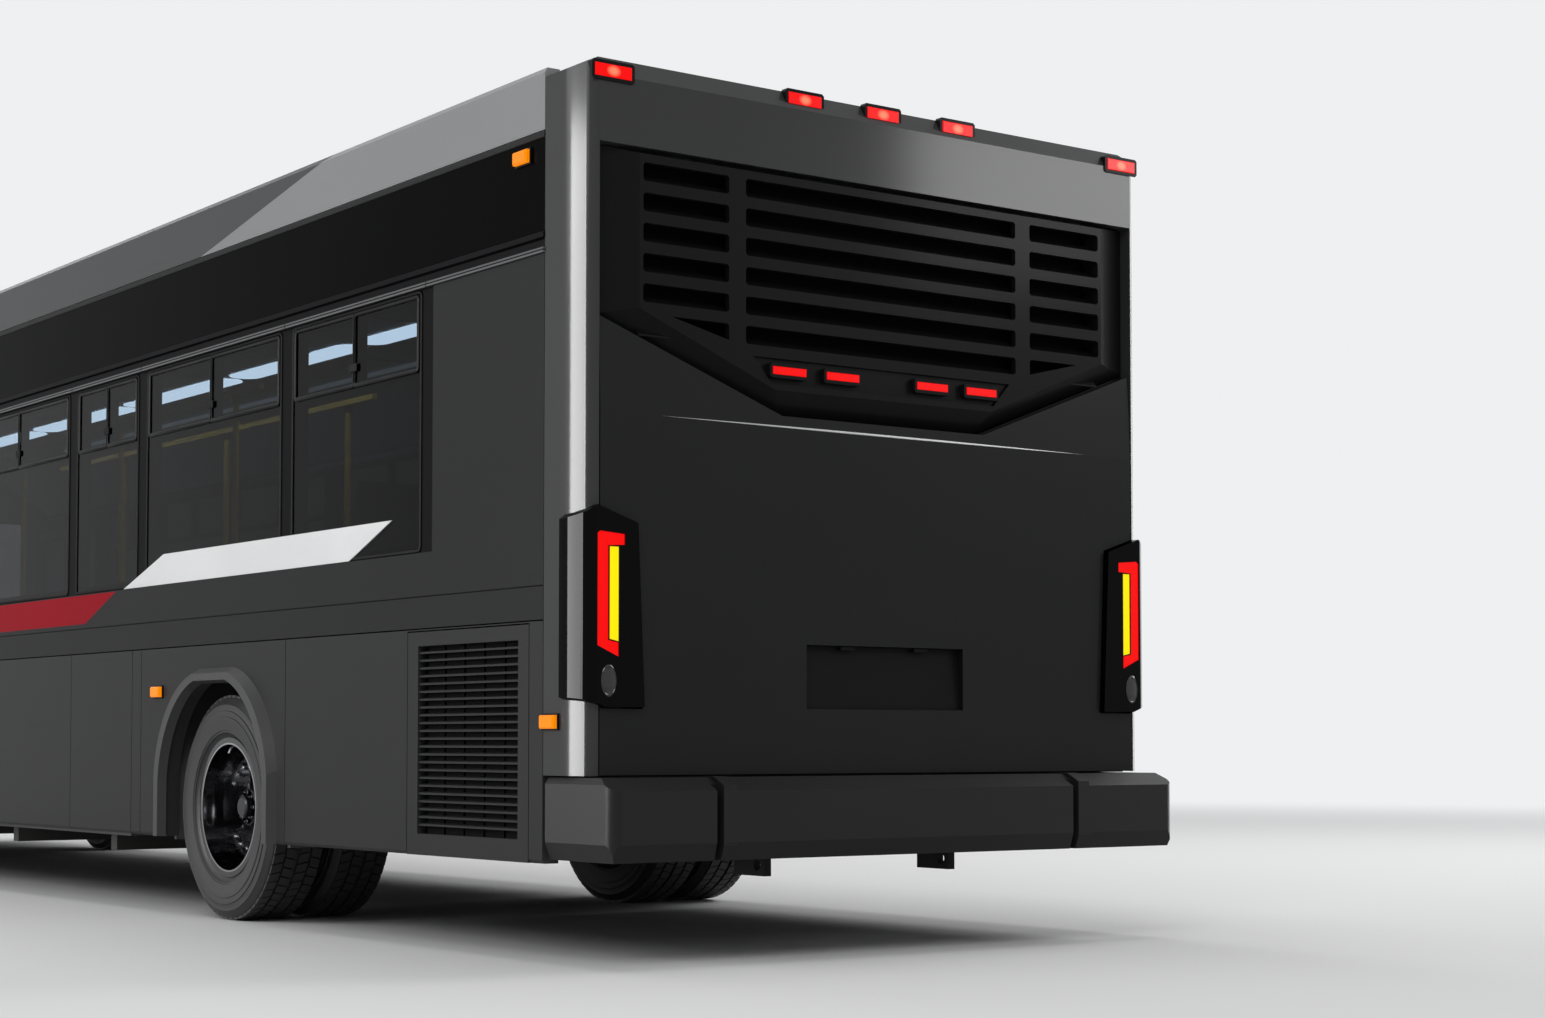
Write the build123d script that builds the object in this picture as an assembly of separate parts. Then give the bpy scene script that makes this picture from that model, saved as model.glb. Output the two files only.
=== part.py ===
from build123d import *
import math
import os

# A low-floor city bus, in millimetres. X runs across, Y along and Z up. The nose points to -Y,
# the driver's (street) side is +X and the door (curb) side is -X. The origin is on the ground,
# in the middle of the bus. A "back" size is measured forward from the rear face.

# Body
body_width = 2590
body_length = 12200
drawn_length = 12200
wall = 65
corner_back = 262
cap_front_length = 252
panel_gap = 5
rear_bumper_depth = 170
front_bumper_depth = 130

# Heights of the body's seams
skirt_bottom = 342
skirt_top = 1171
belt_seam = 1295
window_sill = 1456
roof_edge = 3085
roof_crown = 70
cornice = roof_edge - 220
gloss_top = cornice - 25
gloss_bottom = gloss_top - 327
rail_top = gloss_bottom - 54
window_head = rail_top - 19


def along_body(*backs):
    """Back sizes drawn on the 12.2 m body, kept in proportion to this body's length."""
    return [back * body_length / drawn_length for back in backs]



# Running gear
rear_overhang, wheelbase = along_body(2930, 7100)
tyre_radius = 478.5
tyre_width = 276
rim_radius = 285.75
rim_width = 210
front_track_half = body_width / 2 - 180
outer_dual_x = body_width / 2 - 173
dual_spacing = 311
kingpin_x = front_track_half - 165
spindle_radius = 45
kingpin_radius = 26
running_clearance = 0.05

# Floors
low_floor = 380
high_floor = 800
floor_thickness = 55
step_back = rear_overhang + 830
bulkhead_back = 1165
bulkhead = 30

# Doors
door_sill = 372
door_height = window_head - 83 - door_sill
leaf_thickness = 42
leaf_gap = 8
front_door = along_body(10690, 11910)
rear_door = along_body(3990, 5250)

# Windows: where each module starts and ends, measured forward from the rear face
street_modules = along_body(1050, 2236, 3722, 4567, 6053, 7539, 9025, 10401, 11850)
curb_modules_rear = along_body(1050, 2236, 3722)
curb_modules_front = along_body(5390, 6876, 8362, 9560, 10560)
window_post = 92
glass_thickness = 8
glass_gap = 4
rebate = 34
window_corner = 14

# Sizes worked out from those above
half = body_width / 2
inner = half - wall
rear_face = (body_length + front_bumper_depth - rear_bumper_depth) / 2
front_face = rear_face - body_length
wall_front_back = body_length - cap_front_length
rear_axle = rear_overhang
front_axle = rear_overhang + wheelbase
inner_dual_x = outer_dual_x - dual_spacing


def at(back):
    """Y of a place that lies this far forward of the rear face."""
    return rear_face - back


def block(xs, ys, zs):
    """A closed box between pairs of X, Y and Z."""
    size = [abs(pair[1] - pair[0]) for pair in (xs, ys, zs)]
    centre = [(pair[0] + pair[1]) / 2 for pair in (xs, ys, zs)]
    return Pos(*centre) * Box(*size)


def group(*shapes):
    """Separate solids kept together as one named piece."""
    return Compound([solid for shape in shapes for solid in shape.solids()])


def mirrored(shape):
    """The same shape on the other side of the bus."""
    return mirror(shape, about=Plane.YZ)


def outline(*points, radius=0):
    """A flat face through these points, with its corners rounded."""
    face = make_face(Polyline(*points, close=True))
    return fillet(face.vertices(), radius) if radius else face


def along_x(face, x0, x1):
    """A face drawn in (Y, Z), extruded from x0 to x1."""
    return extrude(Plane.YZ.offset(x0) * face, amount=x1 - x0, dir=(1, 0, 0))


def along_y(face, y0, y1):
    """A face drawn in (X, Z), extruded from y0 up to y1."""
    return extrude(Plane.XZ.offset(-y1) * face, amount=y1 - y0, dir=(0, -1, 0))


def along_z(face, z0, z1):
    """A face drawn in (X, Y), extruded from z0 up to z1."""
    return extrude(Plane.XY.offset(z0) * face, amount=z1 - z0, dir=(0, 0, 1))


def pane_face(back0, back1, z0, z1, corner):
    """A rectangle in (Y, Z) between two back sizes, with its corners cut."""
    centre = (at(back0) + at(back1)) / 2
    face = Pos(centre, (z0 + z1) / 2) * Rectangle(back1 - back0, z1 - z0)
    return chamfer(face.vertices(), corner)


# Side walls

drip_out = 7
seam_depth = 8
glass_plane = half - 7


def wall_profile():
    """Section of the upper side wall in (X, Z): belt seam, window band, rail, gloss panel."""
    face = half
    return outline(
        (inner, skirt_top + panel_gap),
        (face, skirt_top + panel_gap),
        (face, belt_seam - panel_gap),
        (face - seam_depth, belt_seam - panel_gap),
        (face - seam_depth, belt_seam),
        (face, belt_seam),
        (face, window_head),
        (face + drip_out, window_head),
        (face + drip_out, rail_top),
        (face - seam_depth, rail_top + 6),
        (face - seam_depth, gloss_bottom - 24),
        (face + drip_out - 2, gloss_bottom - 18),
        (face + drip_out - 2, gloss_bottom),
        (face - 2, gloss_bottom + 4),
        (face - 2, gloss_top),
        (face + 3, gloss_top + 4),
        (face + 3, cornice - 4),
        (face, cornice),
        (inner, cornice),
    )


def window_pairs(modules):
    """Glass extents of the windows between successive module edges."""
    return [(a + window_post, b) for a, b in zip(modules[:-1], modules[1:])]


def window_cuts(pairs):
    """Rebate and daylight opening of each window."""
    cuts = []
    for a, b in pairs:
        pane = pane_face(a, b, window_sill, window_head, window_corner)
        light = pane_face(a + rebate, b - rebate, window_sill + rebate, window_head - rebate, window_corner)
        cuts.append(along_x(pane, glass_plane - glass_thickness - 1, half + 20))
        cuts.append(along_x(light, inner - 10, half))
    return cuts


sash_z = window_head - 310
sash_bar = 30


def sash_bars(pairs):
    """Bar under the sliding sashes and the upright between them, just inside the glass."""
    x0, x1 = inner + 8, glass_plane - glass_thickness - 6
    bars = []
    for a, b in pairs:
        bars.append(block((x0, x1), (at(b - rebate + 5), at(a + rebate - 5)), (sash_z, sash_z + sash_bar)))
        middle = at((a + b) / 2)
        bars.append(block((x0, x1), (middle - sash_bar / 2, middle + sash_bar / 2),
                          (sash_z, window_head - rebate + 5)))
    return bars


def side_wall(groups):
    """Upper wall with its windows, for the +X side."""
    body = along_y(wall_profile(), at(wall_front_back - 4), at(corner_back + 4))
    for modules in groups:
        band = (at(modules[-1]), at(modules[0]))
        body -= block((glass_plane, half + 1), band, (window_sill, window_head))
        pairs = window_pairs(modules)
        body -= window_cuts(pairs)
        body += sash_bars(pairs)
    return body


def side_wall_street():
    return side_wall([street_modules])


def side_wall_curb():
    body = mirrored(side_wall([curb_modules_rear, curb_modules_front]))
    for door in (rear_door, front_door):
        body -= block((-half - 20, -inner + 20), (at(door[1]), at(door[0])), (0, door_sill + door_height + leaf_gap))
    return body


def side_glass():
    """Every side pane, flush with the window posts."""
    panes = []
    for modules in (street_modules,):
        for a, b in window_pairs(modules):
            face = pane_face(a + glass_gap, b - glass_gap, window_sill + glass_gap,
                                  window_head - glass_gap, window_corner - glass_gap / 2)
            panes.append(along_x(face, glass_plane - glass_thickness - 1, glass_plane - 1))
    for modules in (curb_modules_rear, curb_modules_front):
        for a, b in window_pairs(modules):
            face = pane_face(a + glass_gap, b - glass_gap, window_sill + glass_gap,
                                  window_head - glass_gap, window_corner - glass_gap / 2)
            panes.append(mirrored(along_x(face, glass_plane - glass_thickness - 1, glass_plane - 1)))
    return group(*panes)


# Wheel arches and skirts

arch_half = 535
arch_top = 1016
trim_inner = 520
trim_width = 76
trim_proud = 38
trim_bevel = 22
arch_flat_share = 0.30
arch_brow_share = 0.80
arch_brow_drop = 170
arch_knee_drop = 430


def arch_face(axle, reach, top):
    """Arch outline over one axle, in (Y, Z): a short flat top and two swept shoulders."""
    y = at(axle)
    flat, knee = reach * arch_flat_share, top - arch_knee_drop
    bend = (reach * arch_brow_share, top - arch_brow_drop)
    lines = [
        Polyline((y - reach, knee), (y - reach, 0), (y + reach, 0), (y + reach, knee)),
        ThreePointArc((y - reach, knee), (y - bend[0], bend[1]), (y - flat, top)),
        Line((y - flat, top), (y + flat, top)),
        ThreePointArc((y + flat, top), (y + bend[0], bend[1]), (y + reach, knee)),
    ]
    return make_face(lines)


def skirt(joints, doorways):
    """Lower side panels between the joints, on the +X side, with the arches cut."""
    panels = []
    for a, b in zip(joints[:-1], joints[1:]):
        if any(a >= d[0] - 1 and b <= d[1] + 1 for d in doorways):
            continue
        face = outline((at(a), skirt_bottom), (at(a), skirt_top), (at(b) + panel_gap, skirt_top),
                       (at(b) + panel_gap, skirt_bottom))
        panel = along_x(face, inner, half)
        low_edge = panel.edges().filter_by(Axis.Y).sort_by(Axis.X)[-2:].sort_by(Axis.Z)[0]
        panel = chamfer(low_edge, 12)
        for axle in (rear_axle, front_axle):
            panel -= along_x(arch_face(axle, arch_half, arch_top), inner - 10, half + 10)
        panels += panel.solids()
    return group(*panels)


radiator_door_span = (360, 1228)
first_joint = corner_back + 4
last_joint = wall_front_back - 4 + panel_gap
street_joints = [first_joint, *along_body(2266, 3744, 3850, 4595, 6080, 7560, 9300, 10760), last_joint]
curb_joints = [first_joint, radiator_door_span[1], *along_body(2266, 3744), *rear_door,
               *along_body(6080, 7560, 9300), *front_door, last_joint]


def skirt_street():
    panels = skirt(street_joints, [])
    span = (at(radiator_door_span[1]) - panel_gap, at(radiator_door_span[0]) + panel_gap)
    opening = block((inner - 10, half + 10), span, (skirt_bottom - 10, skirt_top - 4))
    return group(panels - opening)


def skirt_curb():
    return mirrored(skirt(curb_joints, [rear_door, front_door]))


def arch_trim(axle):
    """Moulded flare round one wheel opening, on the +X side, with both its edges bevelled."""
    outer_reach, outer_top = trim_inner + trim_width, arch_top + trim_width - 20
    inner_reach, inner_top = trim_inner, arch_top - 8
    ring = arch_loft(axle, (outer_reach, outer_top), (outer_reach - trim_bevel, outer_top - trim_bevel))
    ring -= arch_loft(axle, (inner_reach, inner_top), (inner_reach + trim_bevel / 2, inner_top + trim_bevel / 2))
    return ring - block((half - 5, half + trim_proud + 5), (at(axle) - 900, at(axle) + 900), (-5, skirt_bottom))


def arch_loft(axle, foot, crown):
    """Space between one arch outline on the side wall and another on the flare's face."""
    low = Plane.YZ.offset(half) * arch_face(axle, *foot)
    high = Plane.YZ.offset(half + trim_proud) * arch_face(axle, *crown)
    return loft([low, high], ruled=True)


def wheel_arch_trims():
    flares = [arch_trim(rear_axle), arch_trim(front_axle)]
    return group(*flares, *[mirrored(f) for f in flares])


# Radiator door and its grille, on the street side

grille_span = (430, 1150)
grille_z = (420, 1110)
slat_count = 24
slat_height = 7
slat_depth = 34
slat_fall = 5
door_frame_depth = 40


def radiator_door():
    """Side door with an open louvred grille, hinged at its front edge."""
    a, b = radiator_door_span
    y0, y1 = at(b), at(a)
    z0, z1 = skirt_bottom, skirt_top - 4 - panel_gap
    x0 = half - door_frame_depth
    leaf = block((x0, half), (y0, y1), (z0, z1))
    gy0, gy1 = at(grille_span[1]), at(grille_span[0])
    leaf -= block((x0 - 5, half + 5), (gy0, gy1), grille_z)
    pitch = (grille_z[1] - grille_z[0]) / slat_count
    slats = []
    for i in range(slat_count - 1):
        z = grille_z[0] + pitch * (i + 1)
        slat = outline((half - slat_depth, z + slat_fall), (half - 5, z), (half - 5, z + slat_height),
                       (half - slat_depth, z + slat_fall + slat_height))
        slats.append(along_y(slat, gy0 - 1, gy1 + 1))
    return leaf + slats


# Roof

hatch_backs = along_body(4300, 9300)
hatch_size = (620, 780)


def roof_shell():
    """Crowned roof with a coved ceiling and two hatch openings."""
    edge = inner - 4
    top, base = cornice + roof_crown, cornice
    outer = Polyline((edge, base - 70), (edge, base - 6))
    crown = ThreePointArc((edge, base - 6), (0, top), (-edge, base - 6))
    side = Polyline((-edge, base - 6), (-edge, base - 70))
    cove_left = ThreePointArc((-edge, base - 70), (-edge + 90, base - 150), (-edge + 260, base - 75))
    ceiling = ThreePointArc((-edge + 260, base - 75), (0, base - 20), (edge - 260, base - 75))
    cove_right = ThreePointArc((edge - 260, base - 75), (edge - 90, base - 150), (edge, base - 70))
    section = make_face([outer, crown, side, cove_left, ceiling, cove_right])
    shell = along_y(section, at(wall_front_back - 4), at(corner_back + 4))
    for back in hatch_backs:
        shell -= block((-hatch_size[0] / 2, hatch_size[0] / 2),
                       (at(back) - hatch_size[1] / 2, at(back) + hatch_size[1] / 2), (base - 150, top + 50))
    return shell


fairing_skin = 22
fairing_lip = 60


def roof_fairings():
    """Upright panels that hide the roof edge, one each side."""
    section = outline(
        (inner, cornice + 3), (half, cornice + 3), (half, roof_edge - 18), (half - 10, roof_edge),
        (half - fairing_lip, roof_edge), (half - fairing_lip, roof_edge - fairing_skin),
        (half - fairing_skin, roof_edge - fairing_skin), (half - fairing_skin, cornice + 25),
        (inner, cornice + 25),
    )
    panel = along_y(section, at(wall_front_back - 4), at(corner_back + 4))
    return group(panel, mirrored(panel))


def roof_hatch(back):
    """Dished escape hatch lid on a kerb, hinged at its front edge."""
    w, l = hatch_size[0] + 60, hatch_size[1] + 60
    base = cornice + roof_crown + 6
    lid = Pos(0, at(back), base + 18) * Box(w, l, 36)
    lid = chamfer(lid.edges().filter_by(Axis.Z), 50)
    lid = chamfer(lid.faces().sort_by(Axis.Z)[-1].edges(), 14)
    return lid


# Rear end

recess_half = half - 55
recess_top = roof_edge - 298
recess_shoulder = recess_top - 587
recess_keel = recess_top - 872
keel_half = half - 825
recess_depth = 50
floor_half = half - 215
floor_shoulder = recess_shoulder + 32
floor_keel = recess_keel + 85
floor_keel_half = keel_half + 35
cap_wall = 60
corner_reach = 165
corner_inset = 55
bumper_top = 640
rear_top_drop = 68
rear_top_inset = 45
cap_corner_drop = 38
cap_corner_run = 85


def rear_plan(offset):
    """Plan of the rear end in (X, Y), shrunk by an offset, with swept corners of two arcs each."""
    h, y1 = half - offset, rear_face - offset
    y0 = at(corner_back)
    turn_y, turn_x = y1 - corner_reach, h - corner_inset
    lines = [Line((-h, y0), (h, y0)), Line((-turn_x, y1), (turn_x, y1))]
    for side in (1, -1):
        along = (side * (h - corner_inset * 0.075), y1 - corner_reach * 0.62)
        bend = (side * (h - corner_inset * 0.36), y1 - corner_reach * 0.23)
        across = (side * (h - corner_inset * 0.64), y1 - corner_reach * 0.065)
        lines += [
            Line((side * h, y0), (side * h, turn_y)),
            ThreePointArc((side * h, turn_y), along, bend),
            ThreePointArc(bend, across, (side * turn_x, y1)),
        ]
    return make_face(lines)


def recess_polygon(gap):
    """Outline of the louvred recess in (X, Z)."""
    r, k = recess_half - gap, keel_half - gap / 3
    return outline((-r, recess_top - gap), (r, recess_top - gap), (r, recess_shoulder + gap),
                   (k, recess_keel + gap), (-k, recess_keel + gap), (-r, recess_shoulder + gap))


def rear_cap():
    """Corner posts, header and top of the rear end, open where the door and louvre sit."""
    shell = along_z(rear_plan(0), bumper_top + 3, roof_edge)
    pitch = rear_top_drop / rear_top_inset
    slope = outline((rear_face + 20, roof_edge - rear_top_drop - 20 * pitch),
                    (rear_face - rear_top_inset - 20, roof_edge + 20 * pitch), (rear_face + 20, roof_edge + 20 * pitch))
    shell -= along_x(slope, -half - 5, half + 5)
    for side in (-1, 1):
        corner = outline((side * (half + 5), roof_edge - cap_corner_drop), (side * (half + 5), roof_edge + 5),
                         (side * (half - cap_corner_run), roof_edge + 5))
        shell -= along_y(corner, at(corner_back) - 5, rear_face + 5)
    core = along_z(rear_plan(cap_wall), 0, roof_edge - 40)
    core += block((-half + cap_wall, half - cap_wall), (at(corner_back) - 20, at(corner_back) + 20), (0, roof_edge - 40))
    shell -= core
    opening = block((-recess_half, recess_half), (rear_face - cap_wall - 90, rear_face + 5), (0, recess_top))
    return shell - opening


slot_rows = 6
slot_pitch = 104
slot_height = 64
slot_top = recess_top - 51
side_slot = (floor_half - 375, floor_half - 15)
centre_slot_half = side_slot[0] - 72
slot_corner = 8
louvre_thickness = 24
louvre_proud = 2
lamp_shelf = (floor_keel_half + 95, floor_keel_half + 15)
lamp_shelf_z = (floor_keel + 22, floor_keel + 112)
lamp_shelf_depth = 12


def slot_face(x0, x1, top):
    """One louvre slot in (X, Z) with its corners cut."""
    face = Pos((x0 + x1) / 2, top - slot_height / 2) * Rectangle(x1 - x0, slot_height)
    return chamfer(face.vertices(), slot_corner)


def rear_louvre():
    """Flush slotted panel whose borders slope down into a deep joint round the recess."""
    back_plane = rear_face - recess_depth - louvre_thickness
    island = outline(
        (-floor_half, recess_top - 22), (floor_half, recess_top - 22), (floor_half, floor_shoulder),
        (floor_keel_half, floor_keel), (-floor_keel_half, floor_keel), (-floor_half, floor_shoulder))
    foot = Plane.XZ.offset(-(rear_face - recess_depth)) * recess_polygon(panel_gap)
    face = Plane.XZ.offset(-(rear_face + louvre_proud)) * island
    panel = loft([foot, face])
    panel += along_y(recess_polygon(panel_gap), back_plane, rear_face - recess_depth)
    inside = outline(
        (-floor_half + 30, recess_top - 40), (floor_half - 30, recess_top - 40), (floor_half - 30, floor_shoulder + 20),
        (floor_keel_half - 10, floor_keel + 26), (-floor_keel_half + 10, floor_keel + 26),
        (-floor_half + 30, floor_shoulder + 20))
    panel -= along_y(inside, back_plane - 5, rear_face + louvre_proud - louvre_thickness)
    limit = along_y(outline(
        (-floor_half + 15, recess_top - 30), (floor_half - 15, recess_top - 30), (floor_half - 15, floor_shoulder + 12),
        (floor_keel_half, floor_keel + 110), (-floor_keel_half, floor_keel + 110),
        (-floor_half + 15, floor_shoulder + 12)), back_plane - 5, rear_face + 50)
    cuts, blades = [], []
    front = rear_face + louvre_proud - louvre_thickness
    for row in range(slot_rows):
        top = slot_top - row * slot_pitch
        columns = [(-side_slot[1], -side_slot[0]), (-centre_slot_half, centre_slot_half), side_slot]
        for x0, x1 in columns:
            cuts.append(along_y(slot_face(x0, x1, top), back_plane - 5, rear_face + 50))
            blade = outline((front - 30, top - slot_height + 30), (front + 4, top - slot_height - 4),
                            (front + 4, top - slot_height - 10), (front - 30, top - slot_height + 24))
            blades.append(along_x(blade, x0 - 8, x1 + 8))
    shelf = outline((-lamp_shelf[0], lamp_shelf_z[1]), (lamp_shelf[0], lamp_shelf_z[1]),
                    (lamp_shelf[1], lamp_shelf_z[0]), (-lamp_shelf[1], lamp_shelf_z[0]))
    panel -= along_y(shelf, rear_face + louvre_proud - lamp_shelf_depth, rear_face + 50)
    return panel - (group(*cuts) & limit) + blades


door_crease = recess_keel - 45
plate_half = 365
plate_z = (871, 1102)
plate_depth = 34
engine_door_thickness = 45


def engine_door():
    """Rear engine door: notched under the louvre, creased, with the number plate pocket."""
    r, g = recess_half - panel_gap, panel_gap
    keel = keel_half + g / 3
    face = outline((-r, bumper_top + g), (r, bumper_top + g), (r, recess_shoulder - g), (keel, recess_keel - g),
                   (-keel, recess_keel - g), (-r, recess_shoulder - g))
    door = along_y(face, rear_face - engine_door_thickness, rear_face)
    lean = outline((rear_face + 5, door_crease), (rear_face + 5, recess_shoulder + 50),
                   (rear_face - 12, recess_shoulder + 50), (rear_face, door_crease))
    door -= along_x(lean, -recess_half, recess_half)
    pocket = outline((rear_face + 1, plate_z[0] + 2), (rear_face + 1, plate_z[1]),
                     (rear_face - plate_depth, plate_z[1] - 4), (rear_face - plate_depth + 16, plate_z[0] + 8))
    door -= along_x(pocket, -plate_half, plate_half)
    for side in (-1, 1):
        door -= along_y(lamp_face(side, 6), rear_face - engine_door_thickness - 5, rear_face + 5)
    return door


# Lamps

lamp_apex = (half - 48, 1552)
lamp_inner_top = (half - 200, 1496)
lamp_inner_low = (half - 227, 874)
lamp_outer_low = 926
lamp_proud = 22


def lamp_face(side, grow):
    """Rear outline of a tail lamp in (X, Z)."""
    s, g = side, grow
    return outline((s * (half + 60), lamp_apex[1] - 70 + g), (s * (lamp_apex[0] + 10), lamp_apex[1] + g),
                   (s * (lamp_inner_top[0] - g), lamp_inner_top[1] + g), (s * (lamp_inner_low[0] - g), lamp_inner_low[1] - g),
                   (s * (lamp_apex[0] - 20), lamp_inner_low[1] - g), (s * (half + 60), lamp_outer_low - 5 - g))


lamp_wrap = 128
red_guide_x = (half - 37, half - 123)
red_guide_z = (1042, 1464)
guide_width = 45
guide_proud = 5


def tail_lamp_housing(side):
    """Black lamp body wrapped round the rear corner."""
    low, high = lamp_inner_low[1] - 10, lamp_apex[1] + 10
    shell = along_z(rear_plan(-lamp_proud), low, high) - along_z(rear_plan(-1), low - 10, high + 10)
    shell &= block((side * 1000, side * (half + 60)), (at(lamp_wrap), rear_face + lamp_proud + 5), (low, high))
    shell &= along_y(lamp_face(side, 0), at(lamp_wrap) - 10, rear_face + 60)
    return shell


def guide_shape(side):
    """Bracket-shaped red light guide in (X, Z), open towards the middle of the bus."""
    x0, x1 = red_guide_x
    z0, z1 = red_guide_z
    s = side
    return outline((s * x0, z1 - 8), (s * (x0 - 10), z1), (s * (x1 - 24), z1 - 8), (s * (x1 - 24), z1 - 44),
                   (s * (x0 - guide_width), z1 - 48),
                   (s * (x0 - guide_width), z0 + 56), (s * x1, z0 + 48), (s * x1, z0), (s * x0, z0 + 38))


def turn_shape(side):
    """Turn signal bar inside the red bracket."""
    x0, x1 = red_guide_x
    z0, z1 = red_guide_z
    s = side
    return outline((s * (x0 - guide_width - 3), z1 - 51), (s * x1, z1 - 51), (s * x1, z0 + 52),
                   (s * (x0 - guide_width - 3), z0 + 60))


def tail_lamps():
    housings = []
    for side in (-1, 1):
        body = tail_lamp_housing(side)
        pocket = along_y(guide_shape(side), rear_face + lamp_proud - 12, rear_face + 60)
        pocket += along_y(turn_shape(side), rear_face + lamp_proud - 12, rear_face + 60)
        housings.append(body - pocket)
    return group(*housings)


clearance_inner_x = (-360, 0, 360)
clearance_outer_x = (105 - half, half - 105)
clearance_inner_z = roof_edge - 27
clearance_outer_z = roof_edge - 57
bezel_stand = 13
stop_x = (-450, -210, 210, 450)
stop_z = floor_keel + 68
bezel_size = (172, 22, 68)
stop_bezel_height = 52
lens_margin = 12
lens_proud = 3


def slope_y(z):
    """Front of a clearance lamp whose middle is this high on the sloping top edge."""
    rise = z - (roof_edge - rear_top_drop)
    return rear_face - rear_top_inset * rise / rear_top_drop + bezel_stand


def lamp_places():
    """Middle of every small red lamp's front face, with its height."""
    places = [(x, slope_y(clearance_inner_z), clearance_inner_z, bezel_size[2]) for x in clearance_inner_x]
    places += [(x, slope_y(clearance_outer_z), clearance_outer_z, bezel_size[2]) for x in clearance_outer_x]
    places += [(x, rear_face + 14, stop_z, stop_bezel_height) for x in stop_x]
    return places


def lens_block(x, y, z, height):
    """Lens of a small lamp, chamfered in front."""
    lens = Box(bezel_size[0] - 2 * lens_margin, 12, height - 2 * lens_margin)
    lens = chamfer(lens.faces().sort_by(Axis.Y)[-1].edges(), 2.5)
    lens = Pos(x, y + lens_proud - 6, z) * lens
    return lens & slope_side() if z > recess_top else lens


def slope_side():
    """Everything outside the sloping top edge of the rear end."""
    run = rear_top_inset / rear_top_drop
    y = rear_face + 2
    return along_x(outline(
        (y, 0), (y, roof_edge - rear_top_drop), (y - rear_top_inset, roof_edge),
        (y - rear_top_inset - 100 * run, roof_edge + 100), (y + 200, roof_edge + 100), (y + 200, 0)), -half, half)


def lamp_bezels():
    """Black surrounds of the clearance and stop lamps and the base plates of the side markers."""
    outside = slope_side()
    bezels = []
    for x, y, z, height in lamp_places():
        depth = 46 if z > recess_top else bezel_size[1]
        body = block((x - bezel_size[0] / 2, x + bezel_size[0] / 2), (y - depth, y), (z - height / 2, z + height / 2))
        body = chamfer(body.edges().filter_by(Axis.Y), 8)
        if z > recess_top:
            body &= outside
        bezels.append(body - lens_pocket(x, y, z, height))
    for x_face, back, z in marker_places():
        plate = block((x_face, x_face + marker_plate), (at(back) - 52, at(back) + 52), (z - 29, z + 29))
        bezels += [plate, mirrored(plate)]
    return group(*bezels)


def lens_pocket(x, y, z, height):
    """Pocket of a small lamp's bezel."""
    w, h = bezel_size[0] / 2 - lens_margin, height / 2 - lens_margin
    return block((x - w, x + w), (y + lens_proud - 12, y + 20), (z - h, z + h))


def red_lamps():
    """Clearance and stop lenses and the red guides in the tail lamps."""
    lamps = [lens_block(*place) for place in lamp_places()]
    for side in (-1, 1):
        lamps.append(along_y(guide_shape(side), rear_face + lamp_proud - 12, rear_face + lamp_proud - 4))
    return group(*lamps)


def turn_bars():
    """Turn signal bars in the tail lamps."""
    bars = [along_y(turn_shape(side), rear_face + lamp_proud - 12, rear_face + lamp_proud - 4) for side in (-1, 1)]
    return group(*bars)


marker_size = (18, 92, 46)
marker_plate = 6
marker_stand = 0.5
marker_z = 979
street_markers = ((407, gloss_top - 47), (rear_axle + 614, marker_z), (rear_axle + 4630, marker_z),
                  (front_axle - 850, marker_z), (210, 825))


def marker_places():
    """Foot of each side marker on the +X side: face, back size and height."""
    return [(half + marker_stand + marker_seat(z), back, z) for back, z in street_markers]


def marker_seat(z):
    """The gloss panel stands a little inside the lower wall."""
    return -2 if z > belt_seam else 0


def amber_lamps():
    """Side marker lenses."""
    lamps = []
    for x_face, back, z in marker_places():
        body = Box(*marker_size)
        body = chamfer(body.faces().sort_by(Axis.X)[-1].edges(), 6)
        body = Pos(x_face + marker_plate + marker_size[0] / 2, at(back), z) * body
        lamps += [body, mirrored(body)]
    return group(*lamps)


# Bumpers

bumper_bottom = 357
bumper_face = (420, 592)
rib_x = half - 478
rib_width = 55
rib_groove = 28


def bumper_plan(depth, wrap, face_y, direction, radius):
    """Plan of a wrap-round bumper in (X, Y)."""
    y_out = face_y + direction * depth
    y_in = face_y - direction * wrap
    shape = outline((-half, y_in), (half, y_in), (half, y_out), (-half, y_out))
    corners = [v for v in shape.vertices() if abs(v.Y - y_out) < 1]
    return fillet(corners, radius)


def bumper_block(depth, wrap, face_y, direction, radius, z0, z1, low_chamfer, top_chamfer):
    """Closed bumper moulding with its upper and lower edges cut back."""
    y_out = face_y + direction * depth
    y_in = face_y - direction * wrap
    solid = along_z(bumper_plan(depth, wrap, face_y, direction, radius), z0, z1)
    low, top = low_chamfer, top_chamfer
    side = outline((y_in, z0), (y_out - direction * low / 3, z0), (y_out, z0 + low), (y_out, z1 - top),
                   (y_out - direction * top * 2, z1), (y_in, z1))
    across = outline((-half + low / 3, z0), (half - low / 3, z0), (half, z0 + low), (half, z1 - top / 2),
                     (half - top / 3, z1), (-half + top / 3, z1), (-half, z1 - top / 2), (-half, z0 + low))
    y_low, y_high = min(y_in, y_out), max(y_in, y_out)
    return solid & along_x(side, -half - 1, half + 1) & along_y(across, y_low - 1, y_high + 1)


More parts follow.
